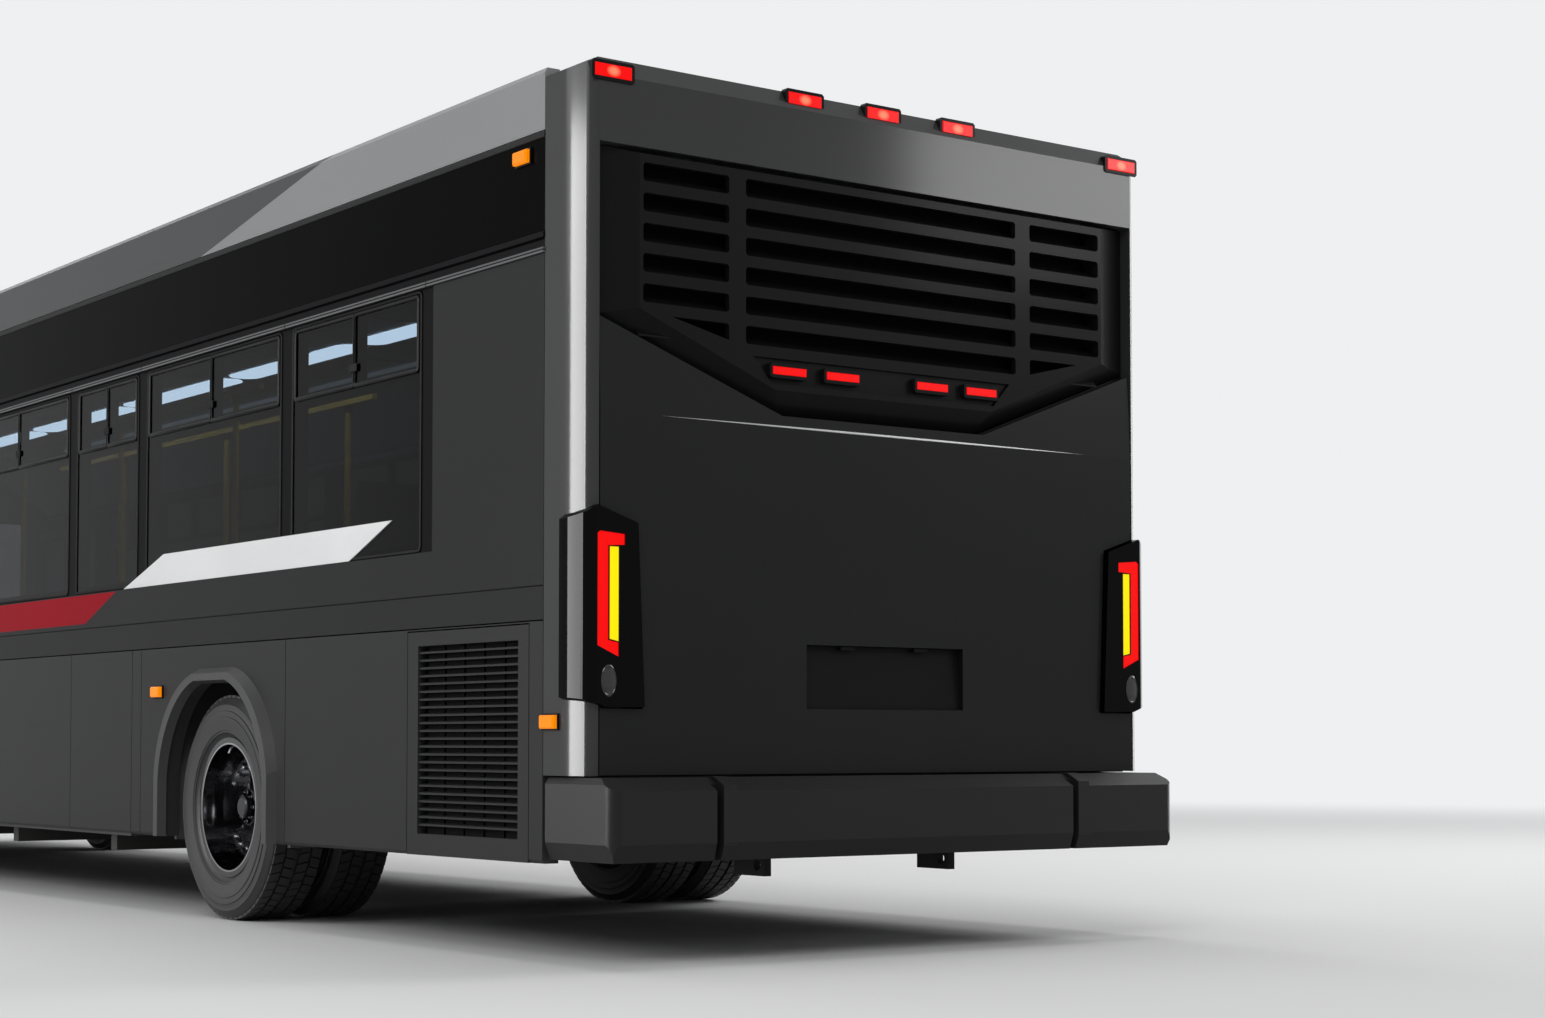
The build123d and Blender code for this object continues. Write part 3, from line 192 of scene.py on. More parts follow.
def seenDirectly(tree):
    # 1 for what the camera sees straight on, in gloss or through glass
    path = tree.nodes.new("ShaderNodeLightPath").outputs
    rays = mathNode(tree, "MAXIMUM", path["Is Camera Ray"], path["Is Glossy Ray"])
    return mathNode(tree, "MAXIMUM", rays, path["Is Transmission Ray"])


def fadeIntoSky(tree, bsdf, s):
    # the far floor takes the sky's colour, so the studio has no horizon
    away = addNode(tree, "ShaderNodeVectorMath", {0: objectPlace(tree)}, operation="LENGTH").outputs["Value"]
    ramp = addNode(tree, "ShaderNodeMapRange", {"Value": away, "From Min": s["fade"][0], "From Max": s["fade"][1]},
                   interpolation_type="SMOOTHSTEP")
    sky = addNode(tree, "ShaderNodeEmission", {"Color": s["skyColour"]})
    share = product(tree, ramp.outputs[0], seenDirectly(tree))
    mix = addNode(tree, "ShaderNodeMixShader", {0: share, 1: bsdf.outputs[0], 2: sky.outputs[0]})
    feed(tree, tree.nodes["Material Output"].inputs["Surface"], mix.outputs[0])


def paleStudio(s):
    scene = bpy.context.scene
    scene.view_settings.view_transform = "Standard"
    scene.world = bpy.data.worlds.new("paleSky")
    scene.world.use_nodes = True
    tree = scene.world.node_tree
    tree.nodes.clear()
    seen, lit = [addNode(tree, "ShaderNodeBackground", {"Color": s["skyColour"], "Strength": strength}).outputs[0]
                 for strength in (1.0, s["skyLight"])]
    mix = addNode(tree, "ShaderNodeMixShader", {0: seenDirectly(tree), 1: lit, 2: seen})
    addNode(tree, "ShaderNodeOutputWorld", {0: mix.outputs[0]})
    half = s["floorSize"] / 2
    mesh = bpy.data.meshes.new("studioFloor")
    mesh.from_pydata([(-half, -half, 0), (half, -half, 0), (half, half, 0), (-half, half, 0)], [], [(0, 1, 2, 3)])
    mat, tree, bsdf = startMaterial("studioFloor", {"Base Color": s["floorColour"], "Roughness": 0.9,
                                                    "Specular IOR Level": 0.0})
    fadeIntoSky(tree, bsdf, s)
    addObject("studioFloor", mesh, mat)


makeCamera(viewpoint)
paleStudio(studio)
for lamps, glossOnly in ((softLamps, False), (glossLamps, True)):
    for lampName, facts in lamps.items():
        softLamp(lampName, facts, glossOnly)
print("camera, floor and lamps placed")


# Shader groups shared by several finishes

def newGroup(name, inputs, outputs):
    tree = bpy.data.node_groups.new(name, "ShaderNodeTree")
    for label, value in inputs.items():
        tree.interface.new_socket(label, in_out="INPUT", socket_type="NodeSocketFloat").default_value = value
    for label in outputs:
        tree.interface.new_socket(label, in_out="OUTPUT", socket_type="NodeSocketFloat")
    return tree, tree.nodes.new("NodeGroupInput").outputs, tree.nodes.new("NodeGroupOutput").inputs


def bandGroup():
    # 1 between Low and High, 0 outside, with an edge as wide as Soft
    tree, given, out = newGroup("bandMask", {"Value": 0.0, "Low": 0.0, "High": 1.0, "Soft": 0.001}, ["Mask"])
    rise = mathNode(tree, "DIVIDE", less(tree, given["Value"], given["Low"]), given["Soft"], clamp=True)
    fall = mathNode(tree, "DIVIDE", less(tree, given["High"], given["Value"]), given["Soft"], clamp=True)
    feed(tree, out["Mask"], product(tree, rise, fall))
    return tree


def roadDustGroup():
    # dust that thickens towards the road, broken up by noise, over a thin film everywhere
    tree, given, out = newGroup("roadDust", {"Top": 1.2, "Amount": 0.2}, ["Mask"])
    clouds = addNode(tree, "ShaderNodeTexNoise", {"Vector": objectPlace(tree), "Scale": 3.0, "Detail": 6,
                                                  "Roughness": 0.65}).outputs[0]
    fade = less(tree, 1.0, mathNode(tree, "DIVIDE", objectAxes(tree)[2], given["Top"]), clamp=True)
    patchy = product(tree, mathNode(tree, "POWER", fade, 1.6), mathNode(tree, "MULTIPLY_ADD", clouds, 1.4, 0.1))
    total = mathNode(tree, "ADD", patchy, product(tree, less(tree, clouds, 0.52, clamp=True), 0.35))
    feed(tree, out["Mask"], mathNode(tree, "MULTIPLY", total, given["Amount"], clamp=True))
    return tree


def fineGrainGroup():
    # height of moulded or rolled texture, and a slow change of tone
    tree, given, out = newGroup("fineGrain", {"Scale": 300.0}, ["Height", "Tone"])
    for label, scale, detail in (("Height", given["Scale"], 3), ("Tone", 1.1, 5)):
        noise = addNode(tree, "ShaderNodeTexNoise", {"Vector": objectPlace(tree), "Scale": scale, "Detail": detail})
        feed(tree, out[label], noise.outputs[0])
    return tree


def fineScratchGroup():
    # thin wash marks that run along the bus and catch the light
    tree, _, out = newGroup("fineScratch", {}, ["Mask"])
    drawn = addNode(tree, "ShaderNodeMapping", {"Vector": objectPlace(tree), "Scale": (1, 0.06, 1)}).outputs[0]
    noise = addNode(tree, "ShaderNodeTexNoise", {"Vector": drawn, "Scale": 40.0, "Detail": 2}).outputs[0]
    feed(tree, out["Mask"], mathNode(tree, "MULTIPLY", less(tree, noise, 0.6, clamp=True), 3.0, clamp=True))
    return tree


bandMask = bandGroup()
roadDust = roadDustGroup()
fineGrain = fineGrainGroup()
fineScratch = fineScratchGroup()
dustColour = (0.16, 0.15, 0.135)
dustRough = 0.85
usualWear = {"grain": 260.0, "drift": 0.12, "roughDrift": 0.10, "dust": 0.25, "dustTop": 1.3, "marks": 0.06,
             "bump": 0.05}


def place(tree, group, **values):
    return addNode(tree, "ShaderNodeGroup", values, node_tree=group).outputs


def zone(tree, value, low, high, soft=0.0006):
    return place(tree, bandMask, Value=value, Low=low, High=high, Soft=soft)[0]


def finishSurface(tree, bsdf, colour, rough, **wear):
    # tone, dust, wash marks and grain that every opaque finish carries
    f = {**usualWear, **wear}
    grain = place(tree, fineGrain, Scale=f["grain"])
    shade = mathNode(tree, "MULTIPLY_ADD", grain["Tone"], 2 * f["drift"], 1 - f["drift"])
    toned = addNode(tree, "ShaderNodeVectorMath", {0: colour, "Scale": shade}, operation="SCALE").outputs[0]
    dust = place(tree, roadDust, Top=f["dustTop"], Amount=f["dust"])[0]
    base = mathNode(tree, "MULTIPLY_ADD", grain["Tone"], f["roughDrift"], -f["roughDrift"] / 2)
    base = mathNode(tree, "ADD", base, rough)
    base = mathNode(tree, "MULTIPLY_ADD", place(tree, fineScratch)[0], f["marks"], base)
    bump = addNode(tree, "ShaderNodeBump", {"Strength": f["bump"], "Distance": 0.001, "Height": grain["Height"]})
    feed(tree, bsdf.inputs["Base Color"], mixColour(tree, dust, toned, dustColour))
    feed(tree, bsdf.inputs["Roughness"], mixValue(tree, dust, base, dustRough))
    feed(tree, bsdf.inputs["Normal"], bump.outputs[0])


def plainFinish(name, colour, rough, metal=0.0, coat=0.0, coatRough=0.05, specular=0.5, **wear):
    mat, tree, bsdf = startMaterial(name, {"Metallic": metal, "Coat Weight": coat, "Coat Roughness": coatRough,
                                           "Specular IOR Level": specular})
    finishSurface(tree, bsdf, colour, rough, **wear)
    return mat


def lampLens(name, colour, glow, strength, hearts=(), hot=None):
    # hearts are the places (X, Z, reach) of the bright spots, the same on both sides
    mat, tree, bsdf = startMaterial(name, {"Base Color": colour, "Emission Strength": strength, "Roughness": 0.22,
                                           "Specular IOR Level": 0.12})
    ribs = addNode(tree, "ShaderNodeTexWave", {"Vector": objectPlace(tree), "Scale": 60.0}).outputs["Fac"]
    lens = mixColour(tree, product(tree, ribs, 0.25), glow, colour)
    total = 0.0
    for x, z, reach in hearts:
        axes = objectAxes(tree)
        dx = mathNode(tree, "DIVIDE", less(tree, mathNode(tree, "ABSOLUTE", axes[0]), x), reach)
        dz = mathNode(tree, "DIVIDE", less(tree, axes[2], z), reach * 0.7)
        total = mathNode(tree, "ADD", less(tree, 1.0, longSide(tree, dx, dz), clamp=True), total)
    if hearts:
        lens = mixColour(tree, mathNode(tree, "MULTIPLY", total, 1.6, clamp=True), lens, hot)
    feed(tree, bsdf.inputs["Emission Color"], lens)
    return mat


def tintedPane(name, tint):
    mat, tree, bsdf = startMaterial(name, {"Transmission Weight": 1.0, "IOR": 1.12})
    film = addNode(tree, "ShaderNodeTexNoise", {"Vector": objectPlace(tree), "Scale": 1.7, "Detail": 6}).outputs[0]
    feed(tree, bsdf.inputs["Roughness"], product(tree, film, 0.012))
    uneven = mixColour(tree, product(tree, film, 0.3), tint, tuple(c * 0.75 for c in tint))
    feed(tree, bsdf.inputs["Base Color"], uneven)
    return mat


# Finishes

paintTones = {
    "charcoal": (0.0360, 0.0363, 0.0370),
    "doorCharcoal": (0.0165, 0.0167, 0.0172),
    "plateRecessShade": (0.0095, 0.0095, 0.010),
    "glossBlack": (0.0012, 0.0012, 0.0014),
    "windowBand": (0.0035, 0.0035, 0.004),
    "railGreyAndHighlight": (0.17, 0.172, 0.175),
    "railGrooveShade": (0.006, 0.006, 0.007),
    "crimson": (0.37, 0.001, 0.012),
    "fairingLight": (0.29, 0.295, 0.30),
    "fairingDark": (0.064, 0.065, 0.067),
}
bodyWear = {"bump": 0.03, "grain": 420.0, "drift": 0.08, "roughDrift": 0.06}

# heights on the side walls, and how far from the rear face the window band and the foot of the red stripe reach
wallZones = {
    "sill": 1.456, "head": 2.440, "railLow": (2.4407, 2.4485), "railHigh": (2.4525, 2.460), "gloss": (2.513, 2.842),
    "bandBack": (1.05, 11.85), "red": (1.315, 1.452), "redEnd": (4.053, 4.43),
}


def wallPaint(w, t):
    mat, tree, bsdf = startMaterial("sideWallPaint", {"Specular IOR Level": 0.01, "Coat Roughness": 0.06})
    _, y, z = objectAxes(tree)
    aft, fore = w["bandBack"]
    windowBand = product(tree, zone(tree, z, w["sill"], w["head"]), zone(tree, y, forwardOf(fore), forwardOf(aft)))
    gloss = zone(tree, z, *w["gloss"])
    # the two rail stripes are the rail's own light grey, the upper one partly a painted highlight along its top ridge;
    # the groove between and above them is painted dark as painted shade
    rail = mathNode(tree, "MAXIMUM", zone(tree, z, *w["railLow"]), zone(tree, z, *w["railHigh"]))
    (low, high), (top, foot) = w["red"], w["redEnd"]
    lean = product(tree, less(tree, high, z), (foot - top) / (high - low))
    ahead = mathNode(tree, "LESS_THAN", y, less(tree, forwardOf(top), lean))
    colour = t["charcoal"]
    for mask, tone in ((product(tree, zone(tree, z, low, high), ahead), "crimson"), (windowBand, "windowBand"),
                       (zone(tree, z, w["head"], w["gloss"][0]), "railGrooveShade"), (rail, "railGreyAndHighlight"),
                       (gloss, "glossBlack")):
        colour = mixColour(tree, mask, colour, t[tone])
    finishSurface(tree, bsdf, colour, mixValue(tree, gloss, 0.40, 0.22), dust=0.05, **bodyWear)
    feed(tree, bsdf.inputs["Coat Weight"], mixValue(tree, gloss, 0.06, 0.0))
    return mat


def shadedRecessPaint(name, colour, recessShade, span, rough, coat):
    # a panel whose sunk part is painted darker, as painted shade in the recess; span is the sunk part's (half X, low Z,
    # high Z)
    mat, tree, bsdf = startMaterial(name, {"Specular IOR Level": 0.03, "Coat Roughness": 0.12})
    x, y, z = objectAxes(tree)
    half, low, high = span
    mask = product(tree, product(tree, zone(tree, x, -half, half), zone(tree, z, low, high)),
                   zone(tree, y, rearFace - 0.3, rearFace - 0.0012, 0.0008))
    finishSurface(tree, bsdf, mixColour(tree, mask, colour, recessShade), rough, dust=0.04, **bodyWear)
    feed(tree, bsdf.inputs["Coat Weight"], mixValue(tree, mask, coat, 0.01))
    return mat


wheelLook = {"edge": 0.2745, "dish": (0.30, 0.30, 0.31), "lip": (0.010, 0.010, 0.0105)}


def rimPaint(name, axleY, f):
    # polished dish with a thin bright edge; the lip outside it is dark where the bead of the tyre sits
    mat, tree, bsdf = startMaterial(name, {})
    _, y, z = objectAxes(tree)
    radius = longSide(tree, less(tree, y, axleY), less(tree, z, tyreRadius))
    lip = zone(tree, radius, f["edge"], 1.0, 0.001)
    finishSurface(tree, bsdf, mixColour(tree, lip, f["dish"], f["lip"]), 0.08, dust=0.02, bump=0.01, grain=500.0,
                  drift=0.10, roughDrift=0.05, marks=0.03)
    feed(tree, bsdf.inputs["Metallic"], mixValue(tree, lip, 1.0, 0.0))
    return mat


# (forward of the rear face, height) of the ends of the slanting joint between the two greys of the roof fairing
fairingSplit = {"top": (1.877, 3.085), "foot": (3.011, 2.890)}


def fairingPaint(s, t):
    mat, tree, bsdf = startMaterial("fairingPaint", {"Specular IOR Level": 0.08, "Coat Weight": 0.08,
                                                     "Coat Roughness": 0.10})
    _, y, z = objectAxes(tree)
    (b0, z0), (b1, z1) = s["top"], s["foot"]
    edge = mathNode(tree, "MULTIPLY_ADD", less(tree, z0, z), -(b1 - b0) / (z0 - z1), forwardOf(b0))
    behind = mathNode(tree, "GREATER_THAN", y, edge)
    finishSurface(tree, bsdf, mixColour(tree, behind, t["fairingDark"], t["fairingLight"]), 0.38, dust=0.04, bump=0.02,
                  drift=0.06, dustTop=4.0)
    return mat


def clothFinish(name, warp, weft, thread):
    # plain weave: threads over and under each other, with a fleck in the weft
    mat, tree, bsdf = startMaterial(name, {"Sheen Weight": 0.25})
    x, y, z = objectAxes(tree)
    turn = 2 * math.pi / thread
    along = mathNode(tree, "SINE", product(tree, x, turn))
    over = mathNode(tree, "SINE", product(tree, mathNode(tree, "ADD", y, z), turn))
    weave = mathNode(tree, "MULTIPLY_ADD", product(tree, along, over), 0.5, 0.5)
    finishSurface(tree, bsdf, mixColour(tree, weave, warp, weft), 0.85, dust=0.0, drift=0.25, marks=0.0)
    bump = addNode(tree, "ShaderNodeBump", {"Strength": 0.5, "Distance": 0.0006, "Height": weave})
    feed(tree, bsdf.inputs["Normal"], bump.outputs[0])
    return mat


# (X, height, reach) of the lit hearts of the clearance and stop lamps
lampHearts = ((0.0, 3.058, 0.030), (0.36, 3.058, 0.030), (1.19, 3.028, 0.030), (0.21, 1.984, 0.034),
              (0.45, 1.984, 0.034))

seatCloth = clothFinish("seatCloth", (0.030, 0.034, 0.052), (0.075, 0.080, 0.10), 0.003)
bodyPaint = plainFinish("charcoalPaint", paintTones["charcoal"], 0.40, coat=0.06, coatRough=0.06, specular=0.03,
                        dust=0.05, **bodyWear)
# the sunk walls round the louvre are painted gloss black as painted shade in the recess
capPaint = shadedRecessPaint("rearCapPaint", paintTones["charcoal"], paintTones["glossBlack"], (1.2375, 1.90, 2.7862), 0.40,
                       0.35)
# the licence plate recess is painted darker as painted shade
doorPaint = shadedRecessPaint("rearDoorPaint", paintTones["doorCharcoal"], paintTones["plateRecessShade"], (0.372, 0.865, 1.108),
                        0.42, 0.10)
sideWallPaint = wallPaint(wallZones, paintTones)
silverPaint = fairingPaint(fairingSplit, paintTones)
bumperPlastic = plainFinish("bumperPlastic", (0.0125, 0.0125, 0.0127), 0.46, specular=0.14, dust=0.03, bump=0.30,
                            grain=900.0, drift=0.2)
archPlastic = plainFinish("archPlastic", (0.046, 0.046, 0.0465), 0.38, specular=0.20, dust=0.05, bump=0.25,
                          grain=900.0, drift=0.2)
louvreBlack = plainFinish("louvreBlack", (0.0075, 0.0075, 0.008), 0.42, coat=0.05, coatRough=0.14, specular=0.03,
                          dust=0.02, bump=0.1, grain=700.0)
# black that stands in for shade: behind the louvre's and the grille's slots, and inside the hand holes
shadeBlack = plainFinish("shadeBlack", (0.0012, 0.0012, 0.0013), 0.9, specular=0.05, dust=0.0, bump=0.3, grain=400.0)
doorMetal = plainFinish("doorMetal", (0.006, 0.006, 0.0065), 0.4, coat=0.05, specular=0.12, dust=0.05)
chassisSteel = plainFinish("chassisSteel", (0.014, 0.014, 0.0145), 0.62, specular=0.25, dust=0.30, bump=0.25,
                           grain=160.0, drift=0.3)
towSteel = plainFinish("towSteel", (0.006, 0.006, 0.0062), 0.65, specular=0.12, dust=0.10, bump=0.3, grain=160.0,
                       drift=0.3)
castIron = plainFinish("castIron", (0.030, 0.028, 0.027), 0.7, metal=0.4, dust=0.35, bump=0.5, grain=220.0, drift=0.35)
zincSteel = plainFinish("zincSteel", (0.34, 0.34, 0.35), 0.32, metal=1.0, dust=0.15, bump=0.1, grain=300.0)
hubMetal = plainFinish("hubMetal", (0.035, 0.035, 0.038), 0.22, metal=0.9, dust=0.03, grain=400.0)
chromeNut = plainFinish("chromeNut", (0.30, 0.30, 0.31), 0.14, metal=1.0, dust=0.03, bump=0.02)
tyreRubber = plainFinish("tyreRubber", (0.020, 0.020, 0.0205), 0.50, specular=0.25, dust=0.10, bump=0.3, grain=600.0,
                         drift=0.25, dustTop=1.0)
glossHousing = plainFinish("glossHousing", (0.0008, 0.0008, 0.001), 0.06, coat=0.05, coatRough=0.03, specular=0.03,
                           dust=0.0, bump=0.01, marks=0.02)
roofPaint = plainFinish("roofPaint", (0.46, 0.47, 0.48), 0.45, coat=0.10, specular=0.2, dust=0.30, dustTop=6.0,
                        drift=0.1)
floorVinyl = plainFinish("floorVinyl", (0.07, 0.07, 0.075), 0.6, dust=0.1, bump=0.2, grain=500.0, drift=0.3)
ceilingSkin = plainFinish("ceilingSkin", (0.36, 0.37, 0.38), 0.5, specular=0.2, dust=0.0, bump=0.08, grain=300.0)
seatShell = plainFinish("seatShell", (0.035, 0.037, 0.042), 0.45, dust=0.0, bump=0.15, grain=700.0)
dashPlastic = plainFinish("dashPlastic", (0.022, 0.022, 0.024), 0.55, dust=0.0, bump=0.3, grain=900.0)
yellowRail = plainFinish("yellowRail", (0.66, 0.40, 0.01), 0.3, coat=0.4, dust=0.0, bump=0.02)
rubberSeal = plainFinish("rubberSeal", (0.0030, 0.0030, 0.0034), 0.55, specular=0.06, dust=0.02, bump=0.15,
                         grain=500.0)
sashMetal = plainFinish("sashMetal", (0.0060, 0.0060, 0.0068), 0.35, specular=0.06, dust=0.02, bump=0.02)
whiteFilm = plainFinish("whiteFilm", (0.88, 0.885, 0.89), 0.4, coat=0.1, dust=0.02, bump=0.01)
# light grey that paints the highlight along the engine door's crease
creaseHighlightPaint = plainFinish("creaseHighlightPaint", (0.42, 0.42, 0.42), 0.30, metal=0.1, dust=0.0, bump=0.01, drift=0.05)
mirrorGlass = plainFinish("mirrorGlass", (0.75, 0.77, 0.78), 0.02, metal=1.0, dust=0.0, bump=0.0, drift=0.02,
                          roughDrift=0.01, marks=0.01)
chromeBowl = plainFinish("chromeBowl", (0.62, 0.63, 0.65), 0.10, metal=1.0, dust=0.0, bump=0.02, grain=120.0)
reflectorBlack = plainFinish("reflectorBlack", (0.010, 0.009, 0.009), 0.15, coat=0.4, specular=0.3, dust=0.0, bump=0.1,
                             grain=200.0)
blankSign = plainFinish("blankSign", (0.004, 0.004, 0.004), 0.30, specular=0.2, dust=0.0, bump=0.2, grain=900.0)
redLens = lampLens("redLens", (0.30, 0.0, 0.0), (1.0, 0.0, 0.0), 0.86, hearts=lampHearts, hot=(1.6, 0.30, 0.16))
amberLens = lampLens("amberLens", (0.55, 0.15, 0.0), (1.0, 0.26, 0.0), 0.75)
yellowLens = lampLens("yellowLens", (0.55, 0.44, 0.0), (0.95, 0.80, 0.0), 0.80)
clearLens = lampLens("clearLens", (0.70, 0.73, 0.75), (0.9, 0.93, 0.95), 0.05)
lightPanel = lampLens("lightPanel", (0.8, 0.9, 1.0), (0.62, 0.82, 1.0), 12.0)
dimPanel = lampLens("dimPanel", (0.6, 0.68, 0.75), (0.62, 0.82, 1.0), 0.5)
darkGlass = tintedPane("darkGlass", (0.058, 0.060, 0.063))
screenGlass = tintedPane("screenGlass", (0.50, 0.55, 0.55))
frontRimMetal = rimPaint("frontRimMetal", frontAxleY, wheelLook)
rearRimMetal = rimPaint("rearRimMetal", rearAxleY, wheelLook)
print("finishes mixed")

carried = {
    "side_wall_street": sideWallPaint, "side_wall_curb": sideWallPaint, "skirt_street": bodyPaint,
    "skirt_curb": bodyPaint, "rear_cap": capPaint, "engine_door": doorPaint, "front_cap": bodyPaint,
    "radiator_door": bodyPaint, "roof_fairings": silverPaint, "roof_shell": roofPaint, "roof_hatch_rear": roofPaint,
    "roof_hatch_front": roofPaint, "rear_louvre": louvreBlack, "tail_lamps": glossHousing, "red_lamps": redLens,
    "amber_lamps": amberLens, "turn_bars": yellowLens, "lamp_bezels": louvreBlack, "bumper_rear": bumperPlastic,
    "bumper_front": bumperPlastic, "mirrors": bumperPlastic, "wheel_arch_trims": archPlastic,
    "windscreen": screenGlass, "side_glass": darkGlass, "headlamps": glossHousing, "chassis_frame": chassisSteel,
    "tow_eyes": towSteel, "front_axle": castIron, "rear_axle": castIron, "engine_block": castIron,
    "floor_deck": floorVinyl, "wheel_boxes": floorVinyl, "seat_legs": chassisSteel, "seat_cushions": seatCloth,
    "seat_backs": seatCloth, "grab_rails": yellowRail, "ceiling_lights": dimPanel, "dashboard": dashPlastic,
}
for doorName in ("rear_door", "front_door"):
    for leaf in ("aft", "fore"):
        carried[f"{doorName}_{leaf}"] = doorMetal
        carried[f"{doorName}_{leaf}_glass"] = darkGlass
for word in ("street", "curb"):
    carried["knuckle_" + word] = castIron
    carried["front_rim_" + word] = frontRimMetal
    carried["rear_rims_" + word] = rearRimMetal
    carried["front_tyre_" + word] = tyreRubber
    carried["rear_tyres_" + word] = tyreRubber

for nodeName, material in carried.items():
    mesh = nodes[nodeName].data
    mesh.materials.clear()
    mesh.materials.append(material)
print("materials set on", len(carried), "nodes; without one:", [n for n in nodes if n not in carried])


# Mesh helpers

def meshOf(name, bm):
    mesh = bpy.data.meshes.new(name)
    bm.to_mesh(mesh)
    bm.free()
    return mesh


def finishPiece(name, bm, body, material, smooth=False, bevel=0.0):
    if bevel:
        edges = [e for e in bm.edges if len(e.link_faces) == 2 and e.calc_face_angle(0) > 0.6]
        bmesh.ops.bevel(bm, geom=edges, offset=bevel, segments=2, profile=0.6, affect="EDGES", clamp_overlap=True)
    bmesh.ops.recalc_face_normals(bm, faces=bm.faces)
    mesh = meshOf(name, bm)
    obj = addObject(name, mesh, material)
    if smooth:
        mesh.polygons.foreach_set("use_smooth", [True] * len(mesh.polygons))
        mesh.set_sharp_from_angle(angle=math.radians(35))
    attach(obj, body)
    return obj


def addBlock(bm, low, high):
    corners = [bm.verts.new((x, y, z)) for x in (low[0], high[0]) for y in (low[1], high[1])
               for z in (low[2], high[2])]
    for ring in ((0, 1, 3, 2), (4, 6, 7, 5), (0, 4, 5, 1), (2, 3, 7, 6), (0, 2, 6, 4), (1, 5, 7, 3)):
        bm.faces.new([corners[i] for i in ring])


def addPrism(bm, ring, shift):
    # a flat ring of points and the same ring moved by shift, closed into a solid
    low = [bm.verts.new(p) for p in ring]
    high = [bm.verts.new(Vector(p) + Vector(shift)) for p in ring]
    bm.faces.new(low)
    bm.faces.new(high[::-1])
    count = len(ring)
    for i in range(count):
        j = (i + 1) % count
        bm.faces.new((low[i], high[i], high[j], low[j]))


def joinRings(bm, rings):
    # bands between rings of equal count, and fans to a ring of one point
    for a, b in zip(rings[:-1], rings[1:]):
        count = max(len(a), len(b))
        for i in range(count):
            j = (i + 1) % count
            if len(a) == 1:
                bm.faces.new((a[0], b[i], b[j]))
            elif len(b) == 1:
                bm.faces.new((a[i], b[0], a[j]))
            else:
                bm.faces.new((a[i], b[i], b[j], a[j]))


def addTurned(bm, profile, centre, axis, steps=40):
    # profile points are (along the axis, radius), turned about the axis; ends on the axis are closed
    axis = Vector(axis).normalized()
    side = axis.orthogonal().normalized()
    other = axis.cross(side)
    rings = []
    for along, radius in profile:
        spot = Vector(centre) + axis * along
        turns = [2 * math.pi * i / steps for i in range(steps if radius > 1e-6 else 1)]
        rings.append([bm.verts.new(spot + (side * math.cos(t) + other * math.sin(t)) * radius) for t in turns])
    joinRings(bm, rings)


def addTube(bm, points, radius, sides=10):
    # closed tube along a line of points, mitred at its bends
    points = [Vector(p) for p in points]
    turns = [2 * math.pi * k / sides for k in range(sides)]
    rings = []
    first = (points[1] - points[0]).normalized()
    up = first.orthogonal().normalized()
    for i, p in enumerate(points):
        before = (p - points[i - 1]).normalized() if i else first
        after = (points[i + 1] - p).normalized() if i < len(points) - 1 else before
        along = (before + after).normalized()
        up = (up - along * up.dot(along)).normalized()
        right = along.cross(up)
        rings.append([bm.verts.new(p + (up * math.cos(t) + right * math.sin(t)) * radius) for t in turns])
    joinRings(bm, rings)
    bm.faces.new(rings[0][::-1])
    bm.faces.new(rings[-1])


# Geometry Nodes trees for what repeats or follows a path

def startTree(name, sockets):
    tree = bpy.data.node_groups.new(name, "GeometryNodeTree")
    tree.interface.new_socket("Geometry", in_out="INPUT", socket_type="NodeSocketGeometry")
    for label, kind, value in sockets:
        socket = tree.interface.new_socket(label, in_out="INPUT", socket_type="NodeSocket" + kind)
        if value is not None:
            socket.default_value = value
    tree.interface.new_socket("Geometry", in_out="OUTPUT", socket_type="NodeSocketGeometry")
    return tree, tree.nodes.new("NodeGroupInput").outputs, tree.nodes.new("NodeGroupOutput").inputs


def giveMaterial(tree, geometry, given, out):
    made = addNode(tree, "GeometryNodeSetMaterial", {"Geometry": geometry, "Material": given["Material"]})
    feed(tree, out["Geometry"], made.outputs[0])


def wheelRingTree():
    # parts in a ring about the wheel's axle, which runs along X, made real
    tree, given, out = startTree("ringOfParts", [
        ("Part", "Object", None), ("Material", "Material", None), ("Count", "Int", 10), ("Radius", "Float", 0.2),
        ("Along", "Float", 0.0), ("Phase", "Float", 0.0), ("Centre", "Vector", (0, 0, 0))])
    line = addNode(tree, "GeometryNodeMeshLine", {"Count": given["Count"], "Offset": (0, 0, 0)})
    share = mathNode(tree, "DIVIDE", tree.nodes.new("GeometryNodeInputIndex").outputs[0], given["Count"])
    angle = mathNode(tree, "ADD", product(tree, share, 2 * math.pi), given["Phase"])
    across = product(tree, product(tree, mathNode(tree, "SINE", angle), given["Radius"]), -1.0)
    upward = product(tree, mathNode(tree, "COSINE", angle), given["Radius"])
    spot = addNode(tree, "ShaderNodeVectorMath", {0: vectorOf(tree, given["Along"], across, upward),
                                                  1: given["Centre"]})
    put = addNode(tree, "GeometryNodeSetPosition", {"Geometry": line.outputs[0], "Position": spot.outputs[0]})
    part = addNode(tree, "GeometryNodeObjectInfo", {"Object": given["Part"]})
    plant = addNode(tree, "GeometryNodeInstanceOnPoints", {
        "Points": put.outputs[0], "Instance": part.outputs["Geometry"], "Rotation": vectorOf(tree, angle, 0.0, 0.0)})
    real = addNode(tree, "GeometryNodeRealizeInstances", {0: plant.outputs[0]})
    giveMaterial(tree, real.outputs[0], given, out)
    return tree


